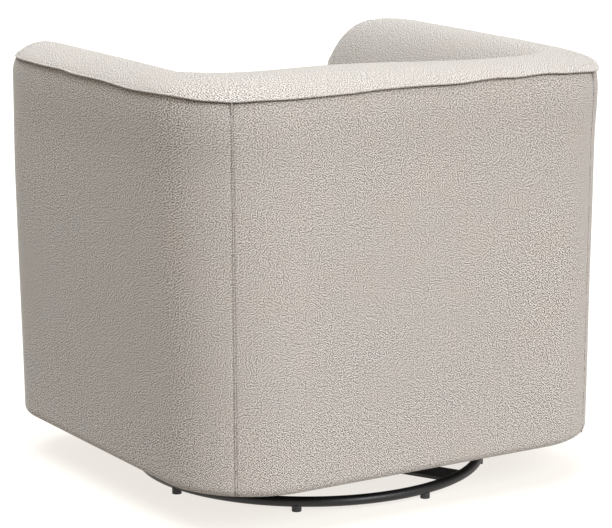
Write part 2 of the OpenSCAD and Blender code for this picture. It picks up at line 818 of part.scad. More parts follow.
// Pad over the seat springs
module seat_deck() {
    x = post_in - board_t - 2 * gap;
    color("gainsboro") block([-x, front_y, deck_z], [x, rear_post_y + rear_post_d, deck_z + deck_t]);
}

// Black cloth under the seat, open round the rocker
module dust_cover() {
    window_x = bracket_x + window_rim;
    window_y = bracket_y + window_rim;
    color([0.08, 0.08, 0.08]) translate([0, 0, hem_h + dust_up]) linear_extrude(dust_t) difference() {
        intersection() {
            plan(hem_return + dust_in);
            translate([-half_w, front_y - board_t]) square([body_w, body_d]);
        }
        translate([-window_x, swivel_back - window_y]) square([2 * window_x, 2 * window_y]);
    }
}

// Section of an outside cover: the hem, the flat inner face and the outer face, pulled in under the lip
pull_in = 4;        // how far the cover is pulled in under the lip
pull_share = 0.3;   // part of the pull a little lower down
puff_h = 24;        // height over which it fills out again
puff_share = 0.33;  // where that is in this height
hem_r = 12;         // roll of the hem
wall_shares = [0.12, 0.35, 0.6, 0.85];
function wall_point(inset, z) = [inset, z, lean(z)];
cover_loop = concat(
    [[hem_return, hem_h, 0]],
    [for (a = [90:-30:0]) wall_point(hem_r * (1 - cos(a)), hem_h + hem_r * (1 - sin(a)))],
    [for (t = wall_shares) wall_point(0, blend(hem_h, cover_top, t))],
    [wall_point(0, cover_top - puff_h), wall_point(pull_in * pull_share, cover_top - puff_h * puff_share),
     wall_point(pull_in, cover_top)],
    [[cover_t, cover_top, 0], [cover_t, rail_z - gap, 0], [hem_return, rail_z - gap, 0]]);

// Plan paths of the covers, run anticlockwise
seam_slit = gap / 2 / rear_r * 180 / PI;
back_path = concat(
    bend(rear_c, rear_r, seam_angle + seam_slit, 90, 6),
    run([rear_c[0], half_d], [-rear_c[0], half_d], [0, 1], 6),
    flip(bend(rear_c, rear_r, seam_angle + seam_slit, 90, 6)));
front_steps = 12;
side_path = concat(
    [[inner_w, wrap_y, -1, 0]],
    bend(nose_c, nose_r, 180, 270, 4),
    bend(front_c, front_r, 270 + 90 / front_steps, 360, front_steps - 1),
    run([half_w, front_c[1]], [half_w, rear_c[1]], [1, 0], 6),
    bend(rear_c, rear_r, 0, seam_angle - seam_slit, 9));
module cover_back() {
    color([0.76, 0.73, 0.7]) swept(back_path, cover_loop);
}
module cover_side() {
    color([0.66, 0.63, 0.59]) swept(side_path, cover_loop);
}
module cover_left() {
    cover_side();
}
module cover_right() {
    mirror([1, 0, 0]) cover_side();
}

// Padded band under the cushion, between the arms
border_d = front_y - board_t - 2 * gap - border_y;
border_loop = concat(
    [for (a = [90:-30:0]) [hem_r * (1 - cos(a)), hem_h + hem_r * (1 - sin(a)), 0]],
    [for (t = wall_shares) [0, blend(hem_h, border_top, t), 0]],
    [for (a = [0:30:90]) [hem_r * (1 - cos(a)), border_top - hem_r * (1 - sin(a)), 0]],
    [[border_d, border_top, 0], [border_d, hem_h, 0]]);
module front_border() {
    x = inner_w - gap;
    between = run([-x, border_y], [x, border_y], [0, -1], 6);
    path = concat([[-x, border_y, 0, -1]], between, [[x, border_y, 0, -1]]);
    color([0.72, 0.69, 0.66]) swept(path, border_loop);
}

// Sewn lip between the covers and the top pad
lip_back = 4;       // how far the lip ends short of the cover's back
lip_in = cover_t - lip_back;
module top_lip() {
    whole = concat(side_path, back_path, flip(side_path));
    z = seam_h - lip_t / 2;
    color([0.8, 0.77, 0.74])
        swept(whole, [[-lip_out, z, 0], [-lip_out, z + lip_t, 0], [lip_in, z + lip_t, 0], [lip_in, z, 0]]);
}

// Sections across the top pad: [outer point, inner point, height share]
crown_steps = 12;
nose_share = 0.7;   // how full the pad is towards its front ends
crown_share = 0.75; // how full its section is
reach_share = 0.6;  // least width of the pad as a part of the arm's
pad_inset = 40;     // how far inside the arm's face the pad ends
function nose_section(a) = let (y = front_c[1] - front_r * sin(a), dy = min(0, y - nose_c[1]))
    [[front_c[0] + front_r * cos(a), y], [nose_c[0] - sqrt(max(0, nose_r * nose_r - dy * dy)), y],
     pow(cos(a), nose_share)];
half_sections = concat(
    [for (a = [86, 80, 72, 63, 53, 42, 30, 16]) nose_section(a)],
    [for (i = [0:5]) let (y = blend(front_c[1], inner_c[1], i / 5)) [[half_w, y], [inner_w, y], 1]],
    [for (i = [0:7]) let (u = [cos(90 * i / 7), sin(90 * i / 7)])
        [rear_c + rear_r * u, inner_c + inner_r * u, 1]],
    [for (x = [rear_c[0] / 2, 0]) [[x, half_d], [x * inner_c[0] / rear_c[0], inner_back], 1]]);
all_sections = concat(half_sections, [for (i = [len(half_sections) - 2:-1:0]) let (s = half_sections[i])
    [[-s[0][0], s[0][1]], [-s[1][0], s[1][1]], s[2]]]);
module top_pad() {
    points = [for (s = all_sections)
        let (d = s[1] - s[0], reach = max(norm(d) - pad_inset * s[2], norm(d) * reach_share) / norm(d))
        for (j = [0:crown_steps]) let (a = 180 * j / crown_steps, t = reach * (1 - cos(a)) / 2)
            [s[0][0] + d[0] * t, s[0][1] + d[1] * t, pad_z + crown_h * s[2] * pow(sin(a), crown_share)]];
    faces = skin_faces(len(all_sections), crown_steps + 1);
    color([0.86, 0.83, 0.81]) polyhedron(points, faces, convexity = 8);
}

// Section of an inside pad: face, rounded over towards the top pad
arm_over = 165;     // height of the rounding at the top of an arm's inside
back_over = 70;     // height of the rounding at the top of the back's inside
round_in = 40;      // how far the rounding draws in
face_shares = [0.33, 0.66];
function inside_loop(over) = concat(
    [[liner_pad_t, inside_top, 0], [liner_pad_t, inside_z, 0], [0, inside_z, 0]],
    [for (t = face_shares) [0, blend(inside_z, inside_top - over, t), 0]],
    [for (a = [0:18:90]) [round_in * (1 - cos(a)), inside_top - over * (1 - sin(a)), 0]]);

// The back's pad turns into the arms, where its rounding grows to theirs
pad_turn = 6;       // steps of the pad round an inner corner
pad_run = 6;        // steps of the pad across the back
module inside_back_pad() {
    path = concat(
        [for (p = bend(inner_c, inner_r, 0, 90, pad_turn)) [-p[0], p[1], p[2], -p[3]]],
        run([-inner_c[0], inner_back], [inner_c[0], inner_back], [0, -1], pad_run),
        [for (p = bend(inner_c, inner_r, 90, 0, pad_turn)) [p[0], p[1], -p[2], -p[3]]]);
    growth = [for (i = [0:pad_turn]) blend(arm_over, back_over, i / pad_turn)];
    overs = concat(growth, [for (i = [1:pad_run - 1]) back_over], [for (i = [pad_turn:-1:0]) growth[i]]);
    color([0.84, 0.81, 0.79]) swept_each(path, [for (over = overs) inside_loop(over)]);
}
module inside_arm() {
    rear = [inner_w, inner_c[1] - gap];
    front = [inner_w, wrap_y + gap];
    between = run(rear, front, [-1, 0], 6);
    path = concat([[rear[0], rear[1], -1, 0]], between, [[front[0], front[1], -1, 0]]);
    color([0.8, 0.77, 0.75]) swept(path, inside_loop(arm_over));
}
module inside_arm_left() {
    inside_arm();
}
module inside_arm_right() {
    mirror([1, 0, 0]) inside_arm();
}

// Outline of the cushion: round corners, and sides that draw in between them
cushion_slack = 2;  // how much rounder the cushion's rear corners are than the back's
cushion_rear_r = inner_r + cushion_slack;
cushion_front_r = 44; // plan radius of its front corners
cushion_set = 6;    // how far the cushion stands behind the border's face
cushion_w = inner_w - 2 * gap;
cushion_front = border_y + cushion_set;
cushion_d = (inner_back - gap - cushion_front) / 2;
cushion_y = cushion_front + cushion_d;
rear_x = cushion_w - cushion_rear_r;
rear_y = cushion_d - cushion_rear_r;
fore_x = cushion_w - cushion_front_r;
fore_y = cushion_d - cushion_front_r;
function drawn(p, q, normal, n) = [for (i = [1:n - 1]) let (t = i / n, d = cushion_draw * sin(180 * t))
    [blend(p[0], q[0], t) - normal[0] * d, blend(p[1], q[1], t) - normal[1] * d, normal[0], normal[1]]];
cushion_outline = concat(
    bend([rear_x, rear_y], cushion_rear_r, 0, 90, 5),
    drawn([rear_x, cushion_d], [-rear_x, cushion_d], [0, 1], 8),
    bend([-rear_x, rear_y], cushion_rear_r, 90, 180, 5),
    drawn([-cushion_w, rear_y], [-cushion_w, -fore_y], [-1, 0], 8),
    bend([-fore_x, -fore_y], cushion_front_r, 180, 270, 5),
    drawn([-fore_x, -cushion_d], [fore_x, -cushion_d], [0, -1], 8),
    bend([fore_x, -fore_y], cushion_front_r, 270, 360, 5),
    drawn([cushion_w, -fore_y], [cushion_w, rear_y], [1, 0], 8));

// Rings of the cushion from its crown down to its flat underside: [inset, share of the plan, height]
edge_r = 22;        // rounding of the cushion's edges
cushion_wall = cushion_t - cushion_crown;
foot_shares = [0.8, 0.3];
cushion_rings = concat(
    [for (a = [80, 62, 42, 20]) [edge_r, cos(a), cushion_wall + cushion_crown * sin(a)]],
    [for (a = [90:-30:0]) [edge_r * (1 - cos(a)), 1, cushion_wall - edge_r * (1 - sin(a))]],
    [for (a = [0:30:90]) [edge_r * (1 - cos(a)), 1, edge_r * (1 - sin(a))]],
    [for (t = foot_shares) [edge_r, t, 0]]);
module seat_cushion() {
    points = [for (r = cushion_rings) for (p = cushion_outline)
        [(p[0] - p[2] * r[0]) * r[1], cushion_y + (p[1] - p[3] * r[0]) * r[1], cushion_z + r[2]]];
    faces = skin_faces(len(cushion_rings), len(cushion_outline));
    color([0.86, 0.83, 0.8]) polyhedron(points, faces, convexity = 4);
}

base_ring();
base_cross();
glides();
glide_stems();
lower_race();
king_bolt();
king_washer();
king_nut();
lower_rivets();
ball_cage();
bearing_balls();
upper_race();
upper_rivets();
carrier_plate();
pivot_shaft();
shaft_clips();
lower_spring_cups();
rubber_stops();
rocker_bracket();
pivot_bushes();
upper_spring_cups();
rocker_springs();
bracket_bolts();
bracket_nuts();
cross_rails();
corner_blocks();
bottom_rail_front();
bottom_rail_rear();
bottom_side_rails();
seat_rail_front();
seat_rail_rear();
seat_side_rails();
front_posts();
rear_posts();
back_stiles();
corner_formers();
top_rail_back();
top_side_rails();
top_board();
back_board();
side_board_left();
side_board_right();
front_board();
arm_liners();
back_webbing();
seat_springs();
spring_clips();
seat_deck();
dust_cover();
cover_back();
cover_left();
cover_right();
front_border();
top_lip();
top_pad();
inside_back_pad();
inside_arm_left();
inside_arm_right();
seat_cushion();
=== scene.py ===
import json
import math

import bpy
from mathutils import Matrix, Vector, noise
from mathutils.bvhtree import BVHTree


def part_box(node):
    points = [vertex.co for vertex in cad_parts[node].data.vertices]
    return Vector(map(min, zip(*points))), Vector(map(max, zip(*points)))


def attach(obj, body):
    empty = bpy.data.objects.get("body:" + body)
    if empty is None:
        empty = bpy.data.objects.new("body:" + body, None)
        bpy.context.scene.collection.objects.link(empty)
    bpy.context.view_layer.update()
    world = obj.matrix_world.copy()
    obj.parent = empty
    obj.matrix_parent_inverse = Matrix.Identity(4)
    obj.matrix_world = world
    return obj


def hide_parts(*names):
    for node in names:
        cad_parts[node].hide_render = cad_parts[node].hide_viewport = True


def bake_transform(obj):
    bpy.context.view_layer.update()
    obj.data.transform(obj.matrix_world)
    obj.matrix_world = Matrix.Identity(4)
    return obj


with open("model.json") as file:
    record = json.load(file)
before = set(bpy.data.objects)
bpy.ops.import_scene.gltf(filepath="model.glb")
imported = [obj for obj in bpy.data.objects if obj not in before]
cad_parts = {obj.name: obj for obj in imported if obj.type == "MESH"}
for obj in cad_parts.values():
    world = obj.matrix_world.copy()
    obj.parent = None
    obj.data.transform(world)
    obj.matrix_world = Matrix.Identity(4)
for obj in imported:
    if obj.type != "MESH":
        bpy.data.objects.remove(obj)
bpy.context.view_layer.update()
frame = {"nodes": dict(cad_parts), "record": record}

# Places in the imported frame, in metres
SIDE_LO, SIDE_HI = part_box("cover_left")
BACK_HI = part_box("cover_back")[1]
INNER_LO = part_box("inside_arm_left")[0]
PAD_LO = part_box("inside_back_pad")[0]
SEAT_LO, SEAT_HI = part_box("seat_cushion")
BAND_LO, BAND_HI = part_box("front_border")
BOARD_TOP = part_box("top_board")[1].z
MIDDLE_Y = 0.008             # the king bolt stands this far behind the middle

# Plan of the body
HALF_W = SIDE_HI.x
HALF_D = BACK_HI.y
REAR_R = 0.150               # rounding of the rear corners
FRONT_R = 0.105              # rounding of the arms' fronts, outside
INNER_R = 0.060              # rounding of the inside corners
INNER_X = INNER_LO.x
INNER_Y = PAD_LO.y
INNER_BACK = PAD_LO.y + INNER_R
NOSE_R = HALF_W - FRONT_R - INNER_X
NOSE_Y = NOSE_R - HALF_D     # where an arm's front starts to round inwards
WRAP_Y = INNER_LO.y - 0.0004
SEAM_ANGLE = 54.0            # where a corner seam sits on the corner, in degrees
LEAN = 0.011                 # how far a face draws in from the lip to the hem
TOP_FRONT_R = 0.140          # rounding of the top over the arms' fronts

# Heights and roundings of the padding
HEM = SIDE_LO.z
HEM_R = 0.012
SEAM = 0.650                 # middle of the sewn lip
ARM_ROLL = (0.100, 0.182)    # width and height of the rounding inside an arm
BACK_ROLL = (0.050, 0.050)   # width and height of the rounding inside the back
CROWN_ROUND = 0.065          # how far in the crown has nearly its full height
CROWN_REACH = 0.078
BOARD_IN = 0.074             # width of the board under the top, from the inner face
SAG_FROM = 0.45              # height from which a cover follows the settled corner
SAG_REACH = 0.20

# Small forms of the sewn cloth
LIP_MARKS = ((0.30, 0.0), (0.38, 0.0010), (0.41, -0.0008), (0.50, 0.0004), (0.58, -0.0008),
             (0.70, 0.0026), (0.765, -0.0006), (0.80, -0.0018), (0.84, 0.0002), (0.91, -0.0005),
             (0.985, -0.0004), (1.03, 0.0012), (1.09, 0.0006), (1.165, -0.0008), (1.235, 0.0013),
             (1.275, -0.0004), (1.325, 0.0010), (1.37, -0.0012), (1.45, 0.0))
LIP_R = 0.0014
LIP_OUT = 0.0018             # how far the lip's round edge stands out
LIP_IN = 0.0080              # how deep the lip reaches in between the covers
CORD_R = 0.0011
WELT_R = 0.0034
WELT_SUNK = 0.0012

# Steps of the meshes over the top
CROWN_STEPS = 18
ROLL_STEPS = 30
INNER_STEPS = 48

# Rocker springs and dust cloth
WINDOW_RIM = 0.013           # gap between the bracket and the dust cloth round it
CLOTH_THICK = 0.0006
WIRE = 0.005
COIL_R = 0.0175
COIL_TURNS = 4

# Weave of the cover cloth
COLUMN = 0.0105              # width of one column of the herringbone
WALE = 0.0040                # height from one diagonal to the next
SIDE_WEAVE = (0.55, 0.55)    # weave of a side opened along its flat
BACK_WEAVE = (1.0, 0.74)     # and of the back, more towards its far end


# ---------- plan of the body


def arc(cx, cy, r, start, stop, step=0.005):
    """Stations along an arc: x, y and the outward direction."""
    count = max(2, round(abs(math.radians(stop - start)) * r / step))
    stations = []
    for i in range(count + 1):
        a = math.radians(start + (stop - start) * i / count)
        stations.append((cx + r * math.cos(a), cy + r * math.sin(a), math.cos(a), math.sin(a)))
    return stations


def straight(x0, y0, x1, y1, nx, ny, step=0.005):
    """Stations between two places that share one outward direction, ends left out."""
    count = max(2, round(math.hypot(x1 - x0, y1 - y0) / step))
    stations = []
    for i in range(1, count):
        t = i / count
        stations.append((x0 + (x1 - x0) * t, y0 + (y1 - y0) * t, nx, ny))
    return stations


def side_plan():
    """Outline of one side, from the inner front seam round the arm to the corner seam."""
    stations = [(INNER_X, WRAP_Y, -1, 0), (INNER_X, (WRAP_Y + NOSE_Y) / 2, -1, 0)]
    stations += arc(HALF_W - FRONT_R, NOSE_Y, NOSE_R, 180, 270, 0.003)
    stations += arc(HALF_W - FRONT_R, FRONT_R - HALF_D, FRONT_R, 270, 360)[1:]
    stations += straight(HALF_W, FRONT_R - HALF_D, HALF_W, HALF_D - REAR_R, 1, 0)
    stations += arc(HALF_W - REAR_R, HALF_D - REAR_R, REAR_R, 0, SEAM_ANGLE)
    return stations


def back_plan():
    """Outline of the back between the two corner seams."""
    x = HALF_W - REAR_R
    y = HALF_D - REAR_R
    stations = arc(x, y, REAR_R, SEAM_ANGLE, 90)
    stations += straight(x, HALF_D, -x, HALF_D, 0, 1)
    stations += arc(-x, y, REAR_R, 90, 180 - SEAM_ANGLE)
    return stations


def mirrored(stations):
    """The same stations on the other side, still run anticlockwise."""
    return [(-x, y, -nx, ny) for x, y, nx, ny in reversed(stations)]


def lengths(stations):
    """Running length at each station."""
    run = [0.0]
    for a, b in zip(stations, stations[1:]):
        run.append(run[-1] + math.hypot(b[0] - a[0], b[1] - a[1]))
    return run


def edge_round(r):
    """Points round an edge, as depths from its flat and from its face."""
    turns = [math.radians(90 - 15 * i) for i in range(7)]
    return [(r * (1 - math.cos(a)), r * (1 - math.sin(a))) for a in turns]


def smooth(t):
    """Soft step from 0 to 1."""
    t = min(max(t, 0.0), 1.0)
    return t * t * (3 - 2 * t)


def roll_fall(depth, roll):
    """How far a rounded edge has come down at a depth from its face."""
    wide, high = roll
    t = 1 - min(max(depth, 0.0), wide) / wide
    return high * (1 - math.sqrt(max(1 - t * t, 0.0)))


def arm_fall(x, y):
    """How far the top of an arm has come down at its rounded inner edge."""
    if y > -0.1:
        return 0.0
    return roll_fall(abs(x) - INNER_X, ARM_ROLL)


def edge_distance(x, y, front_r=TOP_FRONT_R):
    """How far a place in plan lies inside the outline of the top."""
    r = REAR_R if y > 0 else front_r
    qx = abs(x) - (HALF_W - r)
    qy = abs(y) - (HALF_D - r)
    outside = math.hypot(max(qx, 0), max(qy, 0)) + min(max(qx, qy), 0)
    return r - outside


def top_pull(x, y):
    """How far the lip is drawn in round the front corners."""
    return max(-edge_distance(x, y), 0.0) if y < 0 else 0.0


def pull_share(below):
    """Part of that pull that a cover follows at a depth below the lip."""
    broad = 0.28 * (1 - smooth(below / 0.2))
    return broad + 0.72 * math.exp(-below / 0.006)


def corner_sag(x, y):
    """The top settles a little at the far rear corner."""
    deepest = 0.0105
    reach = 0.075
    d = math.hypot(x + 0.345, y - 0.300)
    return deepest * math.exp(-(d / reach) ** 2)


def sag_share(z):
    """Part of that sag that a cover follows at a height."""
    return smooth((z - SAG_FROM) / SAG_REACH)


def lip_fullness(z):
    """The padding swells a little below the lip."""
    swollen = 0.0022
    middle = 0.040
    reach = 0.045
    low_share = smooth((z - HEM) / 0.1)
    return swollen * low_share * math.exp(-((SEAM - z - middle) / reach) ** 2)


def wander(s, z, seed, size):
    """Slow, gentle unevenness of upholstered cloth."""
    return size * noise.noise(Vector((s * 4.0, z * 4.5, seed)))


def puckers(s, below, seed):
    """Small gathers that run down from a sewn seam and fade out."""
    longest = 0.09
    fade = 0.032
    if below > longest:
        return 0.0
    fine = noise.noise(Vector((s * 46.0, below * 7.0, seed)))
    broad = noise.noise(Vector((s * 17.0, below * 4.0, seed + 9.0)))
    return (0.0007 * fine + 0.0009 * broad) * math.exp(-below / fade)


# ---------- making meshes


def mesh_piece(name, points, faces, weave=None):
    """An object from points and faces, with the cloth's own coordinates in metres."""
    mesh = bpy.data.meshes.new(name)
    mesh.from_pydata(points, [], faces)
    mesh.update()
    piece = bpy.data.objects.new(name, mesh)
    bpy.context.scene.collection.objects.link(piece)
    if weave:
        layer = mesh.uv_layers.new(name="Weave")
        for loop in mesh.loops:
            layer.data[loop.index].uv = weave[loop.vertex_index]
    mesh.polygons.foreach_set("use_smooth", [True] * len(mesh.polygons))
    return piece


def loft(name, loops, weave=()):
    """A closed skin through loops of one length, with both ends filled."""
    n = len(loops)
    m = len(loops[0])
    points = [p for loop in loops for p in loop]
    coords = [c for row in weave for c in row]
    faces = []
    for i in range(n - 1):
        for j in range(m):
            k = (j + 1) % m
            faces.append((i * m + j, i * m + k, (i + 1) * m + k, (i + 1) * m + j))
    faces.append(tuple(range(m - 1, -1, -1)))
    faces.append(tuple((n - 1) * m + j for j in range(m)))
    return mesh_piece(name, points, faces, coords)


def work_on(piece):
    """Make one piece the selected and active one."""
    bpy.ops.object.select_all(action="DESELECT")
    bpy.context.view_layer.objects.active = piece
    piece.select_set(True)


def apply(piece, modifier):
    """Turn a modifier's result into the piece's own mesh."""
    work_on(piece)
    bpy.ops.object.modifier_apply(modifier=modifier.name)


def outward(piece):
    """Turn every face of a closed piece to look outwards."""
    work_on(piece)
    bpy.ops.object.mode_set(mode="EDIT")
    bpy.ops.mesh.select_all(action="SELECT")
    bpy.ops.mesh.normals_make_consistent(inside=False)
    bpy.ops.object.mode_set(mode="OBJECT")
    piece.select_set(False)
    return piece


def tube(name, path, radius, closed=True, sides=10):
    """A round cord of cloth along a path."""
    n = len(path)
    points = []
    coords = []
    along = 0.0
    for i, spot in enumerate(path):
        ahead = path[(i + 1) % n] if closed or i < n - 1 else spot
        behind = path[i - 1] if closed or i else spot
        way = (ahead - behind).normalized()
        side = way.cross(Vector((0, 0, 1)))
        if side.length < 0.2:
            side = way.cross(Vector((0, 1, 0)))
        side.normalize()
        up = side.cross(way)
        for j in range(sides):
            a = math.tau * j / sides
            points.append(spot + radius * (math.cos(a) * side + math.sin(a) * up))
            coords.append((along, radius * a))
        along += (ahead - spot).length
    faces = []
    for i in range(n if closed else n - 1):
        for j in range(sides):
            a = i * sides + j
            b = i * sides + (j + 1) % sides
            c = (i + 1) % n * sides + (j + 1) % sides
            d = (i + 1) % n * sides + j
            faces.append((a, b, c, d))
    if not closed:
        faces.append(tuple(range(sides - 1, -1, -1)))
        faces.append(tuple((n - 1) * sides + j for j in range(sides)))
    return outward(mesh_piece(name, points, faces, coords))


# ---------- outside covers


def cover_section():
    """Section of an outside cover: depth below the face, height, and cloth length up the face."""
    top = SEAM - 0.0015
    low = HEM + HEM_R
    turned_in = 0.030
    padding = 0.016
    hem_flange = HEM + 0.045
    count = 100
    section = [(turned_in, HEM)]
    section += [(depth, HEM + up) for depth, up in edge_round(HEM_R)]
    section += [(0.0, low + (top - low) * i / count) for i in range(1, count)]
    section += [(0.0, top - below) for below in (0.0040, 0.0027, 0.0016, 0.0007)]
    section.append((0.0, top))
    face = []
    for depth, z in section:
        below = top - z
        drawn_in = 0.0020 * (1 - smooth(below / 0.026))
        groove = 0.0072 * math.exp(-below / 0.0018)
        face.append((depth + (drawn_in + groove), z, z - HEM))
    cloth_top = SEAM - HEM
    face.append((padding, top, cloth_top + 0.012))
    face.append((padding, hem_flange, cloth_top + 0.5))
    face.append((turned_in, hem_flange, cloth_top + 0.6))
    return face


def lip_step(s):
    """Small steps of the lip where the cloth was eased in by hand."""
    s -= abs(WRAP_Y - NOSE_Y)
    step = 0.0009 * noise.noise(Vector((s * 9.0, 3.1, 0.0)))
    for (a, low), (b, high) in zip(LIP_MARKS, LIP_MARKS[1:]):
        if a <= s <= b:
            step += low + (high - low) * smooth((s - a) / (b - a))
    return step


def end_tuck(depth, distance, reach):
    """How far a sewn end turns in at a distance from it."""
    return depth * (1 - math.sqrt(min(distance / reach, 1.0)))


def cover(name, stations, seed, tucks, start_s, shares):
    """Closed, padded outside cover over a run of stations, its two ends tucked in by their own depths."""
    outer_depth = 0.012      # points less deep than this belong to the outer face
    tuck_reach = 0.005
    section = cover_section()
    run = lengths(stations)
    total = run[-1]
    loops = []
    weave = []
    cloth_run = 0.0
    last_s = 0.0
    for (x, y, nx, ny), s in zip(stations, run):
        flat = smooth((max(abs(nx), abs(ny)) - 0.80) / 0.18)
        flat_share = shares[0] + (shares[1] - shares[0]) * s / total
        cloth_run += (s - last_s) * (1 + (flat_share - 1) * flat)
        last_s = s
        tuck = end_tuck(tucks[0], s, tuck_reach)
        tuck += end_tuck(tucks[1], total - s, tuck_reach)
        fall = arm_fall(x, y)
        pull = top_pull(x, y)
        calm = 1 - smooth(pull / 0.006)
        uneven = (0.4 + 0.6 * calm) * smooth(min(s, total - s) / 0.05)
        sag = corner_sag(x, y) - lip_step(s + start_s)
        lean = LEAN * max(nx * math.copysign(1, x), 0.0)
        loop = []
        row = []
        for depth, z, v in section:
            below = SEAM - z
            d = depth
            if depth < outer_depth:
                d += tuck - lip_fullness(z) * calm
                d -= wander(s + start_s, z, 1.0, 0.0014) * smooth((z - HEM) / 0.05) * uneven
                d -= puckers(s + seed, below, seed)
            d += lean * below / (SEAM - HEM) + pull * pull_share(below)
            drop = fall * smooth((z - 0.12) / (SEAM - 0.12)) + sag * sag_share(z)
            loop.append((x - nx * d, y - ny * d, z - drop))
            row.append((cloth_run + start_s, v))
        loops.append(loop)
        weave.append(row)
    piece = outward(loft(name, loops, weave))
    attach(piece, "seat")
    return piece


def corner_cord(name, side):
    """Thin sewn ridge up a rear corner, where the side and the back meet."""
    a = math.radians(SEAM_ANGLE)
    nx, ny = math.cos(a), math.sin(a)
    path = []
    count = 150
    for i in range(count + 1):
        z = HEM + 0.004 + (SEAM - 0.006 - HEM) * i / count
        d = LEAN * (SEAM - z) / (SEAM - HEM) * nx + 0.0002
        d -= lip_fullness(z)
        d += 0.0006 * noise.noise(Vector((side, z * 30.0, 8.0)))
        d += 0.005 * math.exp(-(z - HEM) / 0.004)
        x = HALF_W - REAR_R + (REAR_R - d) * nx
        y = HALF_D - REAR_R + (REAR_R - d) * ny
        sag = corner_sag(side * x, y) * sag_share(z)
        path.append(Vector((side * x, y, z - sag)))
    piece = tube(name, path, CORD_R, closed=False, sides=8)
    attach(piece, "seat")
    return piece


# ---------- lip round the top


def whole_plan():
    """Outline of the body, from one arm's inner front seam to the other's."""
    left = side_plan()
    back = back_plan()
    right = mirrored(left)
    return left + back[1:-1] + right


def seam_lip():
    """Sewn flange that stands out between the covers and the top."""
    stations = whole_plan()
    run = lengths(stations)
    outline = []
    for i in range(9):
        a = math.radians(-90 + 22.5 * i)
        outline.append((-LIP_OUT - LIP_R * math.cos(a), LIP_R * math.sin(a)))
    outline += [(LIP_IN, LIP_R), (LIP_IN, -LIP_R)]
    loops = []
    weave = []
    for (x, y, nx, ny), s in zip(stations, run):
        z = SEAM - arm_fall(x, y) - corner_sag(x, y) + lip_step(s)
        out = 0.0007 * noise.noise(Vector((s * 12.0, 1.7, 5.0))) - top_pull(x, y)
        out -= 0.0070 * (1 - smooth(min(s, run[-1] - s) / 0.022))
        loops.append([(x - nx * (d - out), y - ny * (d - out), z + h) for d, h in outline])
        weave.append([(s, d + h) for d, h in outline])
    piece = outward(loft("seam_lip", loops, weave))
    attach(piece, "seat")
    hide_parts("top_lip")
    return piece


# ---------- top and inside


def crown_rise(x, y):
    """Height of the crown over the lip, before the inner edge is rounded."""
    d = max(edge_distance(x, y), 0.0)
    near = min(d / CROWN_ROUND, 1.0)
    far = min(d / CROWN_REACH, 1.0)
    full = 0.0125 + 0.0130 * smooth((x + 0.2) / 0.35)
    shoulder = (1 - (1 - near) ** 2) ** 0.78
    return full * (0.72 * shoulder + 0.28 * math.sin(far * math.pi / 2))


def lip_places():
    """Places along the lip with their running length."""
    stations = whole_plan()
    return [(x, y, s) for (x, y, _, _), s in zip(stations, lengths(stations))]


def nearest_length(places, x, y):
    """Running length of the lip beside a place in plan."""
    return min(places, key=lambda place: (place[0] - x) ** 2 + (place[1] - y) ** 2)[2]


def top_sections():
    """Outer point, inner point, inner direction and rounding of each section across the top."""
    sections = []
    inwards = (-1.0, 0.0)
    fx = HALF_W - TOP_FRONT_R
    fy = TOP_FRONT_R - HALF_D
    front_turn = 79.0
    count = 33
    for i in range(count + 1):
        a = math.radians(front_turn * (1 - i / count))
        y = fy - TOP_FRONT_R * math.sin(a)
        past = min(0.0, y - NOSE_Y)
        inner = HALF_W - FRONT_R - math.sqrt(max(NOSE_R ** 2 - past ** 2, 0.0))
        sections.append(((fx + TOP_FRONT_R * math.cos(a), y), (inner, y), inwards, ARM_ROLL))
    count = 66
    for i in range(1, count + 1):
        y = fy + (INNER_Y - fy) * i / count
        outer_y = fy + (HALF_D - REAR_R - fy) * i / count
        sections.append(((HALF_W, outer_y), (INNER_X, y), inwards, ARM_ROLL))
    x0 = HALF_W - REAR_R
    x1 = INNER_X - INNER_R
    count = 34
    for i in range(1, count + 1):
        a = math.pi / 2 * i / count
        u = (math.cos(a), math.sin(a))
        t = smooth(i / count)
        roll = tuple(p + (q - p) * t for p, q in zip(ARM_ROLL, BACK_ROLL))
        outer = (x0 + REAR_R * u[0], HALF_D - REAR_R + REAR_R * u[1])
        inner = (x1 + INNER_R * u[0], INNER_Y + INNER_R * u[1])
        sections.append((outer, inner, (-u[0], -u[1]), roll))
    count = 44
    for i in range(1, count + 1):
        t = i / count
        sections.append(((x0 * (1 - t), HALF_D), (x1 * (1 - t), INNER_BACK), (0.0, -1.0), BACK_ROLL))
    mirror = []
    for (ox, oy), (ix, iy), (dx, dy), roll in sections[:-1]:
        mirror.append(((-ox, oy), (-ix, iy), (-dx, dy), roll))
    return sections + mirror[::-1]


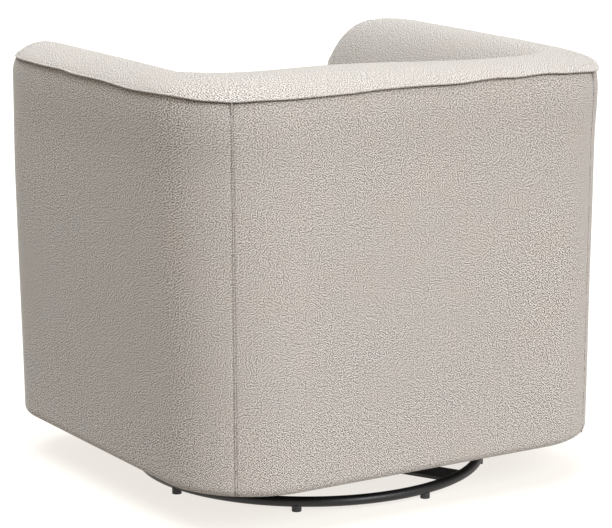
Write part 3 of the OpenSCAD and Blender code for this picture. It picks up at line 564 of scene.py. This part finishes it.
def section_points(outer, inner, way, roll, step_up):
    """Points over the crown and down the inner face."""
    tucked_out = 0.0028      # the first point lies under the lip
    tucked_down = 0.0009
    step_reach = 0.030       # how far in the lip's small steps are felt
    lining_low = 0.004       # how far the lining goes on below the rounding, over the wrap
    lining_behind = 0.003    # how far it lies behind the wrap
    ox, oy = outer
    ix, iy = inner
    width = math.hypot(ix - ox, iy - oy)
    ux = (ix - ox) / max(width, 1e-6)
    uy = (iy - oy) / max(width, 1e-6)
    wide = min(roll[0], width * 0.8)
    flat = width - wide
    quarter = math.pi / 2
    steps = [flat * (1 - math.cos(quarter * i / CROWN_STEPS)) for i in range(CROWN_STEPS)]
    steps += [flat + wide * math.sin(quarter * i / ROLL_STEPS) for i in range(ROLL_STEPS + 1)]
    steps[0] = -tucked_out
    placed = []
    for step in steps:
        x = ox + ux * step
        y = oy + uy * step
        depth = width - step
        if abs(way[0]) > 0.999:
            depth = abs(x) - INNER_X
        z = SEAM + LIP_R + crown_rise(x, y) - roll_fall(depth, roll) - corner_sag(x, y)
        z += step_up * (1 - smooth(step / step_reach))
        if step < 0:
            z -= tucked_down
        placed.append([x, y, z])
    foot = placed[-1][2]
    over_wrap = iy < WRAP_Y - 0.012
    low = foot - lining_low if over_wrap else INNER_LO.z
    behind = lining_behind * smooth((WRAP_Y - iy) / 0.004)
    for i in range(1, INNER_STEPS + 1):
        x = ix - way[0] * behind * smooth(i / 3)
        placed.append([x, iy, foot + (low - foot) * i / INNER_STEPS])
    return placed


def over_board(x, y, z):
    """Height kept clear of the board that the top is stretched over."""
    clear = 0.0030
    inside = abs(x) < INNER_X + BOARD_IN and y < INNER_BACK + BOARD_IN
    if inside:
        return z
    by_edge = 1 - smooth((edge_distance(x, y) - 0.004) / 0.010)
    return max(z, BOARD_TOP + clear - 0.02 * by_edge)


def dressed_row(placed, way, along):
    """A section's points with the unevenness of cloth, and the cloth's own coordinates."""
    upright_below = 0.55     # below this height the cloth stands upright
    row = []
    coords = []
    across = 0.0
    before = placed[0]
    for x, y, z in placed:
        across += math.dist(before, (x, y, z))
        before = (x, y, z)
        lift = wander(along, across + 3.0, 2.0, 0.0022) * smooth(across / 0.03)
        lift += puckers(along, across, 4.0) * 0.8 * smooth(across / 0.006)
        if z < upright_below:
            x += way[0] * lift
            y += way[1] * lift
        else:
            z = over_board(x, y, z + lift)
        row.append((x, y, z))
        coords.append((along, across))
    return row, coords


def under_row(outer, inner, row):
    """Three points that close a section inside the padding: by the lip, by the roll and at the foot."""
    ox, oy = outer
    ux = inner[0] - ox
    uy = inner[1] - oy
    width = max(math.hypot(ux, uy), 1e-6)
    inset = min(0.004, width * 0.2)
    edge = SEAM - arm_fall(ox, oy) - corner_sag(ox, oy)
    start = (ox + ux / width * inset, oy + uy / width * inset, edge - 0.0005)
    deep = min(0.040, width * 0.5)
    back_x = inner[0] - ux / width * deep
    back_y = inner[1] - uy / width * deep
    roll_foot = row[-1 - INNER_STEPS][2]
    corner = min(SEAM - 0.0005, roll_foot - 0.012)
    return [start, (back_x, back_y, corner), (back_x, back_y, row[-1][2])]


def top_and_inside():
    """One padded cover over the top of the arms and back and down their inner faces."""
    loops = []
    weave = []
    along = 0.0
    last = None
    places = lip_places()
    for outer, inner, way, roll in top_sections():
        step_up = lip_step(nearest_length(places, *outer))
        placed = section_points(outer, inner, way, roll, step_up)
        mid = ((outer[0] + inner[0]) / 2, (outer[1] + inner[1]) / 2)
        if last:
            along += math.hypot(mid[0] - last[0], mid[1] - last[1])
        last = mid
        row, coords = dressed_row(placed, way, along)
        loops.append(row + under_row(outer, inner, row)[::-1])
        weave.append(coords + [(along, -0.4), (along, -0.1), (along, -0.01)])
    piece = outward(loft("top_and_inside", loops, weave))
    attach(piece, "seat")
    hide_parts("top_pad", "inside_back_pad", "inside_arm_left", "inside_arm_right")
    return piece


# ---------- seat


def cushion_outline(inset, count=16):
    """Rounded plan of the loose seat cushion, its sides drawn in between the corners."""
    rear_r = 0.062
    front_r = 0.044
    drawn_in = 0.005
    side_steps = 40
    lo, hi = SEAT_LO, SEAT_HI
    cy = (lo.y + hi.y) / 2
    half_w = hi.x - inset
    half_d = (hi.y - lo.y) / 2 - inset
    rear = max(rear_r - inset, 0.01)
    fore = max(front_r - inset, 0.01)
    corners = [(half_w - rear, half_d - rear, rear, 0), (rear - half_w, half_d - rear, rear, 90)]
    corners += [(fore - half_w, fore - half_d, fore, 180), (half_w - fore, fore - half_d, fore, 270)]
    points = []
    for index, (x, y, r, start) in enumerate(corners):
        for i in range(count):
            a = math.radians(start + 90 * i / (count - 1))
            points.append((x + r * math.cos(a), cy + y + r * math.sin(a)))
        nx, ny, nr, _ = corners[(index + 1) % 4]
        a = math.radians(start + 90)
        p = (x + r * math.cos(a), cy + y + r * math.sin(a))
        q = (nx + nr * math.cos(a), cy + ny + nr * math.sin(a))
        for i in range(1, side_steps):
            t = i / side_steps
            draw = drawn_in * math.sin(math.pi * t)
            px = p[0] + (q[0] - p[0]) * t - math.cos(a) * draw
            py = p[1] + (q[1] - p[1]) * t - math.sin(a) * draw
            points.append((px, py))
    return points


def box_weave(piece):
    """Lay the cloth's coordinates flat over the top, the front and the sides of a piece."""
    mesh = piece.data
    layer = mesh.uv_layers.get("Weave") or mesh.uv_layers.new(name="Weave")
    for face in mesh.polygons:
        n = face.normal
        for index in face.loop_indices:
            p = mesh.vertices[mesh.loops[index].vertex_index].co
            if abs(n.z) >= max(abs(n.x), abs(n.y)):
                layer.data[index].uv = (p.x, p.y)
            elif abs(n.x) >= abs(n.y):
                layer.data[index].uv = (p.y, p.z)
            else:
                layer.data[index].uv = (p.x, p.z)


def swell(piece, cap, low, high):
    """Fill a closed skin out as a stuffed cushion, by cloth under pressure, inside a box."""
    remesh = piece.modifiers.new("remesh", "REMESH")
    remesh.mode = "VOXEL"
    remesh.voxel_size = 0.006
    apply(piece, remesh)
    start = [v.co.copy() for v in piece.data.vertices]
    last_frame = 20
    cloth = piece.modifiers.new("cloth", "CLOTH")
    cloth.settings.use_pressure = True
    cloth.settings.uniform_pressure_force = 4.0
    cloth.settings.tension_stiffness = 12
    cloth.settings.compression_stiffness = 12
    cloth.settings.bending_stiffness = 0.6
    cloth.settings.effector_weights.gravity = 0
    cloth.point_cache.frame_start = 1
    cloth.point_cache.frame_end = last_frame
    scene = bpy.context.scene
    for number in range(1, last_frame + 1):
        scene.frame_set(number)
    filled = piece.evaluated_get(bpy.context.evaluated_depsgraph_get())
    ends = [v.co.copy() for v in filled.to_mesh().vertices]
    filled.to_mesh_clear()
    piece.modifiers.remove(cloth)
    scene.frame_set(1)
    for vertex, a, b in zip(piece.data.vertices, start, ends):
        move = b - a
        if move.length > cap:
            move = move * (cap / move.length)
        spot = a + move
        vertex.co = [min(max(c, lo), hi) for c, lo, hi in zip(spot, low, high)]
    level = piece.modifiers.new("soften", "SUBSURF")
    level.levels = 1
    level.render_levels = 1
    apply(piece, level)
    piece.data.polygons.foreach_set("use_smooth", [True] * len(piece.data.polygons))
    piece.select_set(False)


def pad_dome(x, y, half_w, half_d, crown):
    """Height of the cushion's crown over its edge."""
    across = max(1 - abs(x / half_w) ** 2.6, 0.0)
    along = max(1 - abs(y / half_d) ** 2.6, 0.0)
    return crown * (across * along) ** 0.55


def seat_pad():
    """Crowned seat cushion, filled out under pressure."""
    lo, hi = SEAT_LO, SEAT_HI
    inset = 0.005
    crown = 0.024
    edge = 0.016
    swell_cap = 0.024
    wall = hi.z - lo.z - crown - 0.003
    cy = (lo.y + hi.y) / 2
    half_w = hi.x - inset
    half_d = (hi.y - lo.y) / 2 - inset
    rounded = edge_round(edge)
    rings = [(edge, share, None) for share in (0.06, 0.16, 0.28, 0.40, 0.52, 0.64, 0.74, 0.83, 0.90, 0.96)]
    rings += [(depth, 1.0, wall - down) for depth, down in rounded]
    rings += [(0.0, 1.0, wall - edge - (wall - 2 * edge) * t) for t in (0.25, 0.5, 0.75)]
    rings += [(depth, 1.0, up) for depth, up in rounded[::-1]]
    rings += [(edge, share, 0.0) for share in (0.85, 0.6, 0.35, 0.1)]
    loops = []
    for depth, share, z in rings:
        loop = []
        for x, y in cushion_outline(depth + inset):
            px = x * share
            py = (y - cy) * share
            top = wall + pad_dome(px, py, half_w, half_d, crown)
            loop.append((px, cy + py, lo.z + (top if z is None else z)))
        loops.append(loop)
    piece = outward(loft("seat_pad", loops))
    swell(piece, swell_cap, (-hi.x, lo.y, lo.z), (hi.x, hi.y, hi.z + 0.006))
    box_weave(piece)
    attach(piece, "seat")
    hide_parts("seat_cushion")
    return piece


def seat_welt(pad, name, height):
    """Piping sewn round the cushion at one height, set into its real surface."""
    faces = [tuple(face.vertices) for face in pad.data.polygons]
    tree = BVHTree.FromPolygons([v.co for v in pad.data.vertices], faces)
    cy = (SEAT_LO.y + SEAT_HI.y) / 2
    path = []
    for x, y in cushion_outline(-0.004, 20):
        middle = Vector((x * 0.6, cy + (y - cy) * 0.6, height))
        start = Vector((x, y, height))
        spot, normal, _, _ = tree.ray_cast(start, middle - start)
        path.append(spot - normal * WELT_SUNK if spot else start)
    smoothed = [(path[i - 1] + path[i] + path[(i + 1) % len(path)]) / 3 for i in range(len(path))]
    piece = tube(name, smoothed, WELT_R)
    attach(piece, "seat")
    return piece


def front_band():
    """Padded band under the seat cushion, between the arms."""
    lo, hi = BAND_LO, BAND_HI
    rounded = edge_round(HEM_R)
    flat = hi.z - lo.z - 2 * HEM_R
    count = 36
    section = [(depth, lo.z + up) for depth, up in rounded]
    section += [(0.0, lo.z + HEM_R + flat * i / count) for i in range(1, count)]
    section += [(depth, hi.z - down) for depth, down in rounded[::-1]]
    count = 90
    loops = []
    weave = []
    for i in range(count + 1):
        x = lo.x + (hi.x - lo.x) * i / count
        end = min(x - lo.x, hi.x - x)
        tuck = end_tuck(0.0025, end, 0.008)
        loop = []
        row = []
        for depth, z in section:
            t = (z - lo.z) / (hi.z - lo.z)
            d = depth + tuck - 0.002 * math.sin(math.pi * t)
            d -= wander(x + 5, z, 7.0, 0.0012)
            loop.append((x, lo.y + d, z))
            row.append((x, z))
        loop += [(x, hi.y, hi.z), (x, hi.y, lo.z)]
        row += [(x, hi.z + 0.02), (x, lo.z - 0.02)]
        loops.append(loop)
        weave.append(row)
    piece = outward(loft("front_band", loops, weave))
    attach(piece, "seat")
    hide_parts("front_border")
    return piece


# ---------- under the seat


def cloth_edge(way, inset, front):
    """Where a ray from the middle of the seat meets the edge of the dust cloth."""
    near, far = 0.05, 0.70
    for _ in range(40):
        mid = (near + far) / 2
        x, y = way[0] * mid, MIDDLE_Y + way[1] * mid
        inside = edge_distance(x, y, FRONT_R) > inset and y > front
        near, far = (mid, far) if inside else (near, mid)
    return near


def dust_cloth():
    """Black cloth stapled under the seat, open round the rocker and hanging a little slack."""
    lo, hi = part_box("dust_cover")
    bracket_lo, bracket_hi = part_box("rocker_bracket")
    inset = HALF_W - hi.x + 0.002
    window_x = bracket_hi.x + WINDOW_RIM
    window_y = (bracket_hi.y - bracket_lo.y) / 2 + WINDOW_RIM
    corner = math.atan2(window_y, window_x)
    spokes = 176
    rings = 16
    turns = [math.tau * i / spokes for i in range(spokes)]
    turns += [corner, math.pi - corner, math.pi + corner, math.tau - corner]
    turns.sort()
    points = []
    for a in turns:
        way = (math.cos(a), math.sin(a))
        inner = 1 / max(abs(way[0]) / window_x, abs(way[1]) / window_y)
        outer = cloth_edge(way, inset, lo.y + 0.002)
        for i in range(rings + 1):
            t = i / rings
            r = inner + (outer - inner) * t
            x, y = way[0] * r, MIDDLE_Y + way[1] * r
            uneven = 1 + 0.5 * noise.noise(Vector((x * 9, y * 9, 2.0)))
            slack = 0.00075 * math.sin(math.pi * t) * uneven
            pull = 0.0004 * math.sin(a * 30) * t ** 4
            points.append((x, y, lo.z + 0.0009 - slack + pull))
    m = rings + 1
    faces = []
    for i in range(len(turns)):
        k = (i + 1) % len(turns)
        for j in range(rings):
            faces.append((i * m + j, i * m + j + 1, k * m + j + 1, k * m + j))
    piece = mesh_piece("dust_cloth", points, faces)
    thick = piece.modifiers.new("cloth_thickness", "SOLIDIFY")
    thick.thickness = CLOTH_THICK
    apply(piece, thick)
    outward(piece)
    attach(piece, "seat")
    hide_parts("dust_cover")
    return piece


def coil_spring(name, x, y, low, high):
    """Coil spring with closed, flat end turns, swept by the screw tool from one round of wire."""
    wire_sides = 12
    steps = 28
    end_steps = 40
    rise = (high - low - 3 * WIRE) / COIL_TURNS
    bpy.ops.object.select_all(action="DESELECT")
    bpy.ops.mesh.primitive_circle_add(vertices=wire_sides, radius=WIRE / 2)
    coil = bpy.context.object
    coil.name = name
    bpy.ops.object.mode_set(mode="EDIT")
    bpy.ops.mesh.select_all(action="SELECT")
    bpy.ops.transform.rotate(value=math.pi / 2, orient_axis="X", center_override=(0, 0, 0))
    bpy.ops.transform.translate(value=(COIL_R, 0, 1.5 * WIRE))
    bpy.ops.object.mode_set(mode="OBJECT")
    turn = coil.modifiers.new("turns", "SCREW")
    turn.axis = "Z"
    turn.angle = math.tau
    turn.screw_offset = rise
    turn.iterations = COIL_TURNS
    turn.steps = steps
    turn.render_steps = steps
    apply(coil, turn)
    bpy.ops.object.mode_set(mode="EDIT")
    for z in (WIRE / 2, high - low - WIRE / 2):
        bpy.ops.mesh.primitive_torus_add(location=(0, 0, z), major_radius=COIL_R, minor_radius=WIRE / 2,
                                         major_segments=end_steps, minor_segments=wire_sides)
    bpy.ops.mesh.select_all(action="SELECT")
    bpy.ops.transform.translate(value=(x, y, low))
    bpy.ops.mesh.fill_holes(sides=wire_sides)
    bpy.ops.mesh.normals_make_consistent(inside=False)
    bpy.ops.mesh.faces_shade_smooth()
    bpy.ops.object.mode_set(mode="OBJECT")
    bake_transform(coil)
    return coil


def coil_springs():
    """The four springs that hold the seat level."""
    lo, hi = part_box("rocker_springs")
    x = (hi.x - lo.x) / 2 - COIL_R - WIRE / 2
    y = (hi.y - lo.y) / 2 - COIL_R - WIRE / 2
    springs = []
    for i, side in enumerate((-1, 1)):
        for j, end in enumerate((-1, 1)):
            name = f"coil_spring_{2 * i + j + 1}"
            springs.append(coil_spring(name, side * x, (lo.y + hi.y) / 2 + end * y, lo.z, hi.z))
    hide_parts("rocker_springs")
    return springs


# ---------- materials


class Nodes:
    """Short words for building a material out of nodes."""

    def __init__(self, name):
        self.material = bpy.data.materials.new(name)
        self.material.use_nodes = True
        self.tree = self.material.node_tree
        self.shader = self.tree.nodes["Principled BSDF"]

    def add(self, kind, **settings):
        """A new node with its settings."""
        node = self.tree.nodes.new(kind)
        for key, value in settings.items():
            setattr(node, key, value)
        return node

    def link(self, out, into):
        """Join one node's result to another one's socket."""
        self.tree.links.new(out, into)

    def put(self, socket, value):
        """A link or a constant, whichever the value is."""
        if isinstance(value, bpy.types.NodeSocket):
            self.link(value, socket)
        else:
            socket.default_value = value

    def finish(self, **values):
        """Values or links for the shader's own sockets, spaces written as underscores."""
        for name, value in values.items():
            self.put(self.shader.inputs[name.replace("_", " ")], value)

    def sum(self, operation, a, b=0.0, clamp=False):
        """The result of a sum on numbers or links."""
        node = self.add("ShaderNodeMath", operation=operation, use_clamp=clamp)
        self.put(node.inputs[0], a)
        self.put(node.inputs[1], b)
        return node.outputs[0]

    def between(self, value, low, high, to_low=0.0, to_high=1.0):
        """A value's range stretched to another one and held to it."""
        node = self.add("ShaderNodeMapRange")
        for index, item in enumerate((value, low, high, to_low, to_high)):
            self.put(node.inputs[index], item)
        return node.outputs[0]

    def blend(self, share, a, b):
        """Two values added by a share of the first and the rest of the second."""
        return self.sum("ADD", self.sum("MULTIPLY", a, share), self.sum("MULTIPLY", b, 1 - share))

    def grain(self, where, scale, detail=2.0, roughness=0.5, stretch=(1, 1, 1)):
        """Noise of a scale over a place, stretched along its axes."""
        mapping = self.add("ShaderNodeMapping")
        self.link(where, mapping.inputs["Vector"])
        mapping.inputs["Scale"].default_value = stretch
        node = self.add("ShaderNodeTexNoise")
        self.link(mapping.outputs[0], node.inputs["Vector"])
        node.inputs["Scale"].default_value = scale
        node.inputs["Detail"].default_value = detail
        node.inputs["Roughness"].default_value = roughness
        return node.outputs["Fac"]

    def mix(self, factor, a, b):
        """Two colours mixed by a factor."""
        node = self.add("ShaderNodeMix", data_type="RGBA", blend_type="MIX")
        self.put(node.inputs[0], factor)
        self.put(node.inputs[6], a)
        self.put(node.inputs[7], b)
        return node.outputs[2]

    def bump(self, height, strength, distance):
        """Fine relief of the surface from a height."""
        node = self.add("ShaderNodeBump")
        node.inputs["Strength"].default_value = strength
        node.inputs["Distance"].default_value = distance
        self.link(height, node.inputs["Height"])
        self.link(node.outputs[0], self.shader.inputs["Normal"])

    def place(self):
        """Place on the piece, in metres."""
        return self.add("ShaderNodeTexCoord").outputs["Object"]


def colour(red, green, blue):
    """A colour given as it looks on screen, turned to linear light."""
    return tuple((c / 255) ** 2.2 for c in (red, green, blue)) + (1.0,)


def twill_yarns(n, uv, place):
    """Light and dark of the yarns: wales, two sizes of specks, and the lines where the wales turn."""
    wale_share = 0.27
    speck_share = 0.38
    fleck_share = 0.26
    turning_share = 0.06
    speck_scale = 570.0
    fleck_scale = 860.0
    split = n.add("ShaderNodeSeparateXYZ")
    n.link(uv, split.inputs[0])
    wobble = n.grain(place, 70.0, 2.0)
    drift = n.between(wobble, 0.3, 0.7, -0.0007, 0.0007)
    turn = n.sum("PINGPONG", n.sum("ADD", split.outputs[0], drift), COLUMN)
    slope = n.sum("ADD", n.sum("ADD", split.outputs[1], drift), turn)
    wave = n.sum("SINE", n.sum("MULTIPLY", slope, math.tau / WALE))
    patchy = n.between(n.grain(place, 150.0, 2.0), 0.36, 0.62, 0.15, 1.0)
    wale = n.sum("MULTIPLY", n.between(wave, -0.7, 0.7, -1.0, 1.0), patchy)
    middle = n.sum("ABSOLUTE", n.sum("SUBTRACT", turn, COLUMN / 2))
    turning = n.between(middle, COLUMN * 0.38, COLUMN * 0.5)
    speck = n.between(n.grain(uv, speck_scale, 0.0), 0.36, 0.64, -1.0, 1.0)
    fleck = n.between(n.grain(uv, fleck_scale, 0.0), 0.36, 0.64, -1.0, 1.0)
    yarns = n.sum("MULTIPLY", wale, wale_share)
    yarns = n.sum("ADD", yarns, n.sum("MULTIPLY", speck, speck_share))
    yarns = n.sum("ADD", yarns, n.sum("MULTIPLY", fleck, fleck_share))
    return n.sum("SUBTRACT", yarns, n.sum("MULTIPLY", turning, turning_share))


def herringbone_twill():
    """Heathered greige twill: diagonal wales that turn back in narrow columns."""
    n = Nodes("herringbone_twill")
    uv = n.add("ShaderNodeUVMap", uv_map="Weave").outputs[0]
    place = n.place()
    yarns = twill_yarns(n, uv, place)
    level = n.sum("ADD", yarns, 0.54, clamp=True)
    tint = n.grain(place, 11.0, 3.0, 0.6)
    broad = n.grain(place, 2.6, 3.0, 0.5)
    base = n.mix(level, colour(52, 45, 39), colour(234, 227, 219))
    warm = n.mix(n.between(tint, 0.35, 0.65, 0.0, 0.10), base, colour(196, 172, 150))
    cool = n.mix(n.between(broad, 0.35, 0.65, 0.0, 0.08), warm, colour(160, 160, 164))
    n.finish(Base_Color=cool, Roughness=0.9, Specular_IOR_Level=0.2)
    n.finish(Sheen_Weight=0.30, Sheen_Roughness=0.5)
    n.bump(yarns, 0.35, 0.0006)
    return n.material


def satin_black_steel():
    """Black paint on steel, with a fine orange peel."""
    n = Nodes("satin_black_steel")
    place = n.place()
    orange_peel = n.grain(place, 900.0, 2.0)
    cloud = n.grain(place, 22.0, 4.0)
    base = n.mix(cloud, colour(18, 18, 19), colour(34, 34, 35))
    n.finish(Base_Color=base, Roughness=n.between(cloud, 0.3, 0.7, 0.34, 0.5))
    n.bump(orange_peel, 0.12, 0.0004)
    return n.material


def metal(name, dark, pale, rough, streak=(1, 1, 1)):
    """Bare or plated metal with a cloudy surface."""
    n = Nodes(name)
    place = n.place()
    cloud = n.grain(place, 60.0, 4.0, 0.6, streak)
    base = n.mix(cloud, dark, pale)
    n.finish(Base_Color=base, Roughness=n.between(cloud, 0.3, 0.7, rough - 0.08, rough + 0.1), Metallic=1.0)
    n.bump(n.grain(place, 700.0), 0.08, 0.0003)
    return n.material


def bright_zinc():
    return metal("bright_zinc", colour(150, 154, 160), colour(196, 199, 203), 0.34)


def ground_race_steel():
    return metal("ground_race_steel", colour(120, 122, 126), colour(170, 172, 176), 0.26, (1, 1, 6))


def oiled_spring_steel():
    return metal("oiled_spring_steel", colour(52, 54, 60), colour(96, 99, 106), 0.36)


def moulded(name, dark, pale, rough, scale=240.0):
    """Plastic, rubber, felt or pressed board, with a grain of a scale."""
    n = Nodes(name)
    place = n.place()
    cloud = n.grain(place, 18.0, 4.0)
    base = n.mix(cloud, dark, pale)
    n.finish(Base_Color=base, Roughness=n.between(cloud, 0.3, 0.7, rough - 0.06, rough + 0.08))
    n.bump(n.grain(place, scale), 0.15, 0.0003)
    return n.material


def glide_nylon():
    return moulded("glide_nylon", colour(38, 38, 40), colour(60, 60, 62), 0.5)


def pale_nylon():
    return moulded("pale_nylon", colour(206, 202, 188), colour(228, 224, 212), 0.45)


def stop_rubber():
    return moulded("stop_rubber_black", colour(22, 22, 22), colour(40, 39, 38), 0.78, 420.0)


def rough_wood(name, dark, pale, stretch):
    """Sawn wood with rings and fibre drawn out along its grain."""
    n = Nodes(name)
    place = n.place()
    rings = n.grain(place, 26.0, 6.0, 0.6, stretch)
    fibre = n.grain(place, 234.0, 3.0, 0.6, stretch)
    both = n.blend(0.7, rings, fibre)
    n.finish(Base_Color=n.mix(n.between(both, 0.35, 0.65), dark, pale), Roughness=0.78)
    n.bump(fibre, 0.3, 0.0006)
    return n.material


def frame_hardwood():
    return rough_wood("frame_hardwood", colour(176, 138, 96), colour(214, 180, 138), (0.25, 2.0, 2.0))


def birch_plywood():
    return rough_wood("birch_plywood", colour(196, 164, 122), colour(226, 200, 160), (0.5, 0.5, 8.0))


def brown_fibreboard():
    return moulded("brown_fibreboard", colour(118, 92, 66), colour(150, 120, 88), 0.8, 500.0)


def woven(name, dark, pale, pitch):
    """Plain woven cloth or tape from two crossed sets of threads."""
    n = Nodes(name)
    place = n.place()
    split = n.add("ShaderNodeSeparateXYZ")
    n.link(place, split.inputs[0])
    turns = math.tau / pitch
    along = n.sum("SINE", n.sum("MULTIPLY", split.outputs[0], turns))
    other = n.sum("ADD", split.outputs[1], split.outputs[2])
    across = n.sum("SINE", n.sum("MULTIPLY", other, turns))
    thread = n.between(n.sum("MULTIPLY", along, across), -1.0, 1.0)
    both = n.blend(0.6, thread, n.grain(place, 300.0, 3.0))
    n.finish(Base_Color=n.mix(both, dark, pale), Roughness=0.85)
    n.bump(both, 0.4, 0.0006)
    return n.material


def jute_webbing():
    return woven("jute_webbing", colour(120, 96, 66), colour(190, 164, 124), 0.0032)


def black_dust_cloth():
    return woven("black_dust_cloth", colour(14, 14, 15), colour(44, 44, 46), 0.0022)


def grey_deck_felt():
    return moulded("grey_deck_felt", colour(128, 126, 122), colour(170, 167, 162), 0.95, 700.0)


FINISHES = {
    "black_steel": satin_black_steel,
    "zinc_steel": bright_zinc,
    "race_steel": ground_race_steel,
    "spring_steel": oiled_spring_steel,
    "glide_plastic": glide_nylon,
    "nylon": pale_nylon,
    "stop_rubber": stop_rubber,
    "hardwood": frame_hardwood,
    "plywood": birch_plywood,
    "fibreboard": brown_fibreboard,
    "webbing": jute_webbing,
    "dust_cloth": black_dust_cloth,
    "deck_felt": grey_deck_felt,
    "twill_fabric": herringbone_twill,
}


def finish_nodes(made):
    """Give every CAD node the finish of its slot."""
    for part in frame["record"]["subparts"]:
        node = frame["nodes"][part["node"]]
        material = made[part["material_slot"]]
        if not node.material_slots:
            node.data.materials.append(material)
        for holder in node.material_slots:
            holder.material = material


# ---------- room, light and camera


def studio_floor():
    """Wide pale floor that looks white and throws no light back on the chair."""
    reach = 60.0
    corners = [(-reach, -reach, 0), (reach, -reach, 0), (reach, reach, 0), (-reach, reach, 0)]
    mesh = bpy.data.meshes.new("floor")
    mesh.from_pydata(corners, [], [(0, 1, 2, 3)])
    floor = bpy.data.objects.new("floor", mesh)
    bpy.context.scene.collection.objects.link(floor)
    n = Nodes("pale_floor")
    n.finish(Base_Color=(0.30, 0.30, 0.29, 1.0), Roughness=0.9, Specular_IOR_Level=0.1)
    n.finish(Emission_Color=(1.0, 0.955, 0.90, 1.0), Emission_Strength=0.80)
    mesh.materials.append(n.material)
    floor.visible_diffuse = False
    return floor


def sky_lamp(name, way, power, spread, tone):
    """Broad, even light that falls along one direction over the whole room."""
    data = bpy.data.lights.new(name, "SUN")
    data.energy = power
    data.angle = math.radians(spread)
    data.color = tone
    light = bpy.data.objects.new(name, data)
    light.rotation_euler = Vector(way).to_track_quat("-Z", "Y").to_euler()
    bpy.context.scene.collection.objects.link(light)
    return light


def studio_light():
    """Warm room light, a broad lamp overhead and a softer window behind the chair."""
    world = bpy.data.worlds.new("studio")
    world.use_nodes = True
    sky = world.node_tree.nodes["Background"]
    sky.inputs["Color"].default_value = (1.0, 0.93, 0.85, 1.0)
    sky.inputs["Strength"].default_value = 0.44
    bpy.context.scene.world = world
    sky_lamp("overhead", way=(-0.20, -0.06, -1.0), power=2.85, spread=50, tone=(0.90, 0.95, 1.0))
    sky_lamp("window_side", way=(0.14, -0.84, -0.50), power=2.45, spread=36, tone=(0.95, 0.97, 1.0))
    bpy.context.scene.view_settings.view_transform = "Standard"


def photo_camera():
    """Camera from behind and a little above, as in the photograph."""
    turn = math.radians(148.2327)
    dip = math.radians(12.2867)
    tilt = math.radians(-0.2234)
    stand = (2.2237, 3.5907, 1.2403)
    picture_width = 612
    focus = 2734.63          # in the photograph's pixels
    back = Vector((math.sin(turn) * math.cos(dip), -math.cos(turn) * math.cos(dip), math.sin(dip)))
    right = Vector((math.cos(turn), math.sin(turn), 0.0))
    up = back.cross(right)
    right_now = math.cos(tilt) * right + math.sin(tilt) * up
    up_now = math.cos(tilt) * up - math.sin(tilt) * right
    data = bpy.data.cameras.new("photo_camera")
    data.sensor_width = 36
    data.lens = focus / picture_width * data.sensor_width
    data.clip_end = 200
    camera = bpy.data.objects.new("photo_camera", data)
    grid = Matrix((right_now, up_now, back)).transposed()
    camera.matrix_world = Matrix.Translation(stand) @ grid.to_4x4()
    bpy.context.scene.collection.objects.link(camera)
    bpy.context.scene.camera = camera
    return camera


# ---------- put together


def outside_covers():
    """The two side covers and the back cover, in one run round the body."""
    side = side_plan()
    back = back_plan()
    side_run = lengths(side)[-1]
    far_side_run = side_run + lengths(back)[-1]
    left = cover("outside_left", side, 1.0, (0.0006, 0.0010), 0.0, SIDE_WEAVE)
    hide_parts("cover_left")
    rear = cover("outside_back", back, 2.0, (0.0005, 0.0005), side_run, BACK_WEAVE)
    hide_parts("cover_back")
    right = cover("outside_right", mirrored(side), 3.0, (0.0010, 0.0006), far_side_run, SIDE_WEAVE)
    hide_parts("cover_right")
    return [left, rear, right]


def build():
    """The whole chair on its frame, its finishes, the room and the camera."""
    photo_camera()
    studio_floor()
    studio_light()
    made = {slot: make() for slot, make in FINISHES.items()}
    finish_nodes(made)
    covers = outside_covers()
    pad = seat_pad()
    welts = [seat_welt(pad, "seat_welt_top", SEAT_HI.z - 0.031)]
    welts.append(seat_welt(pad, "seat_welt_foot", SEAT_LO.z + 0.010))
    cords = [corner_cord("corner_cord_left", 1), corner_cord("corner_cord_right", -1)]
    for piece in covers + [seam_lip(), top_and_inside(), pad, front_band()] + welts + cords:
        piece.data.materials.append(made["twill_fabric"])
    dust_cloth().data.materials.append(made["dust_cloth"])
    for spring in coil_springs():
        spring.data.materials.append(made["spring_steel"])


build()
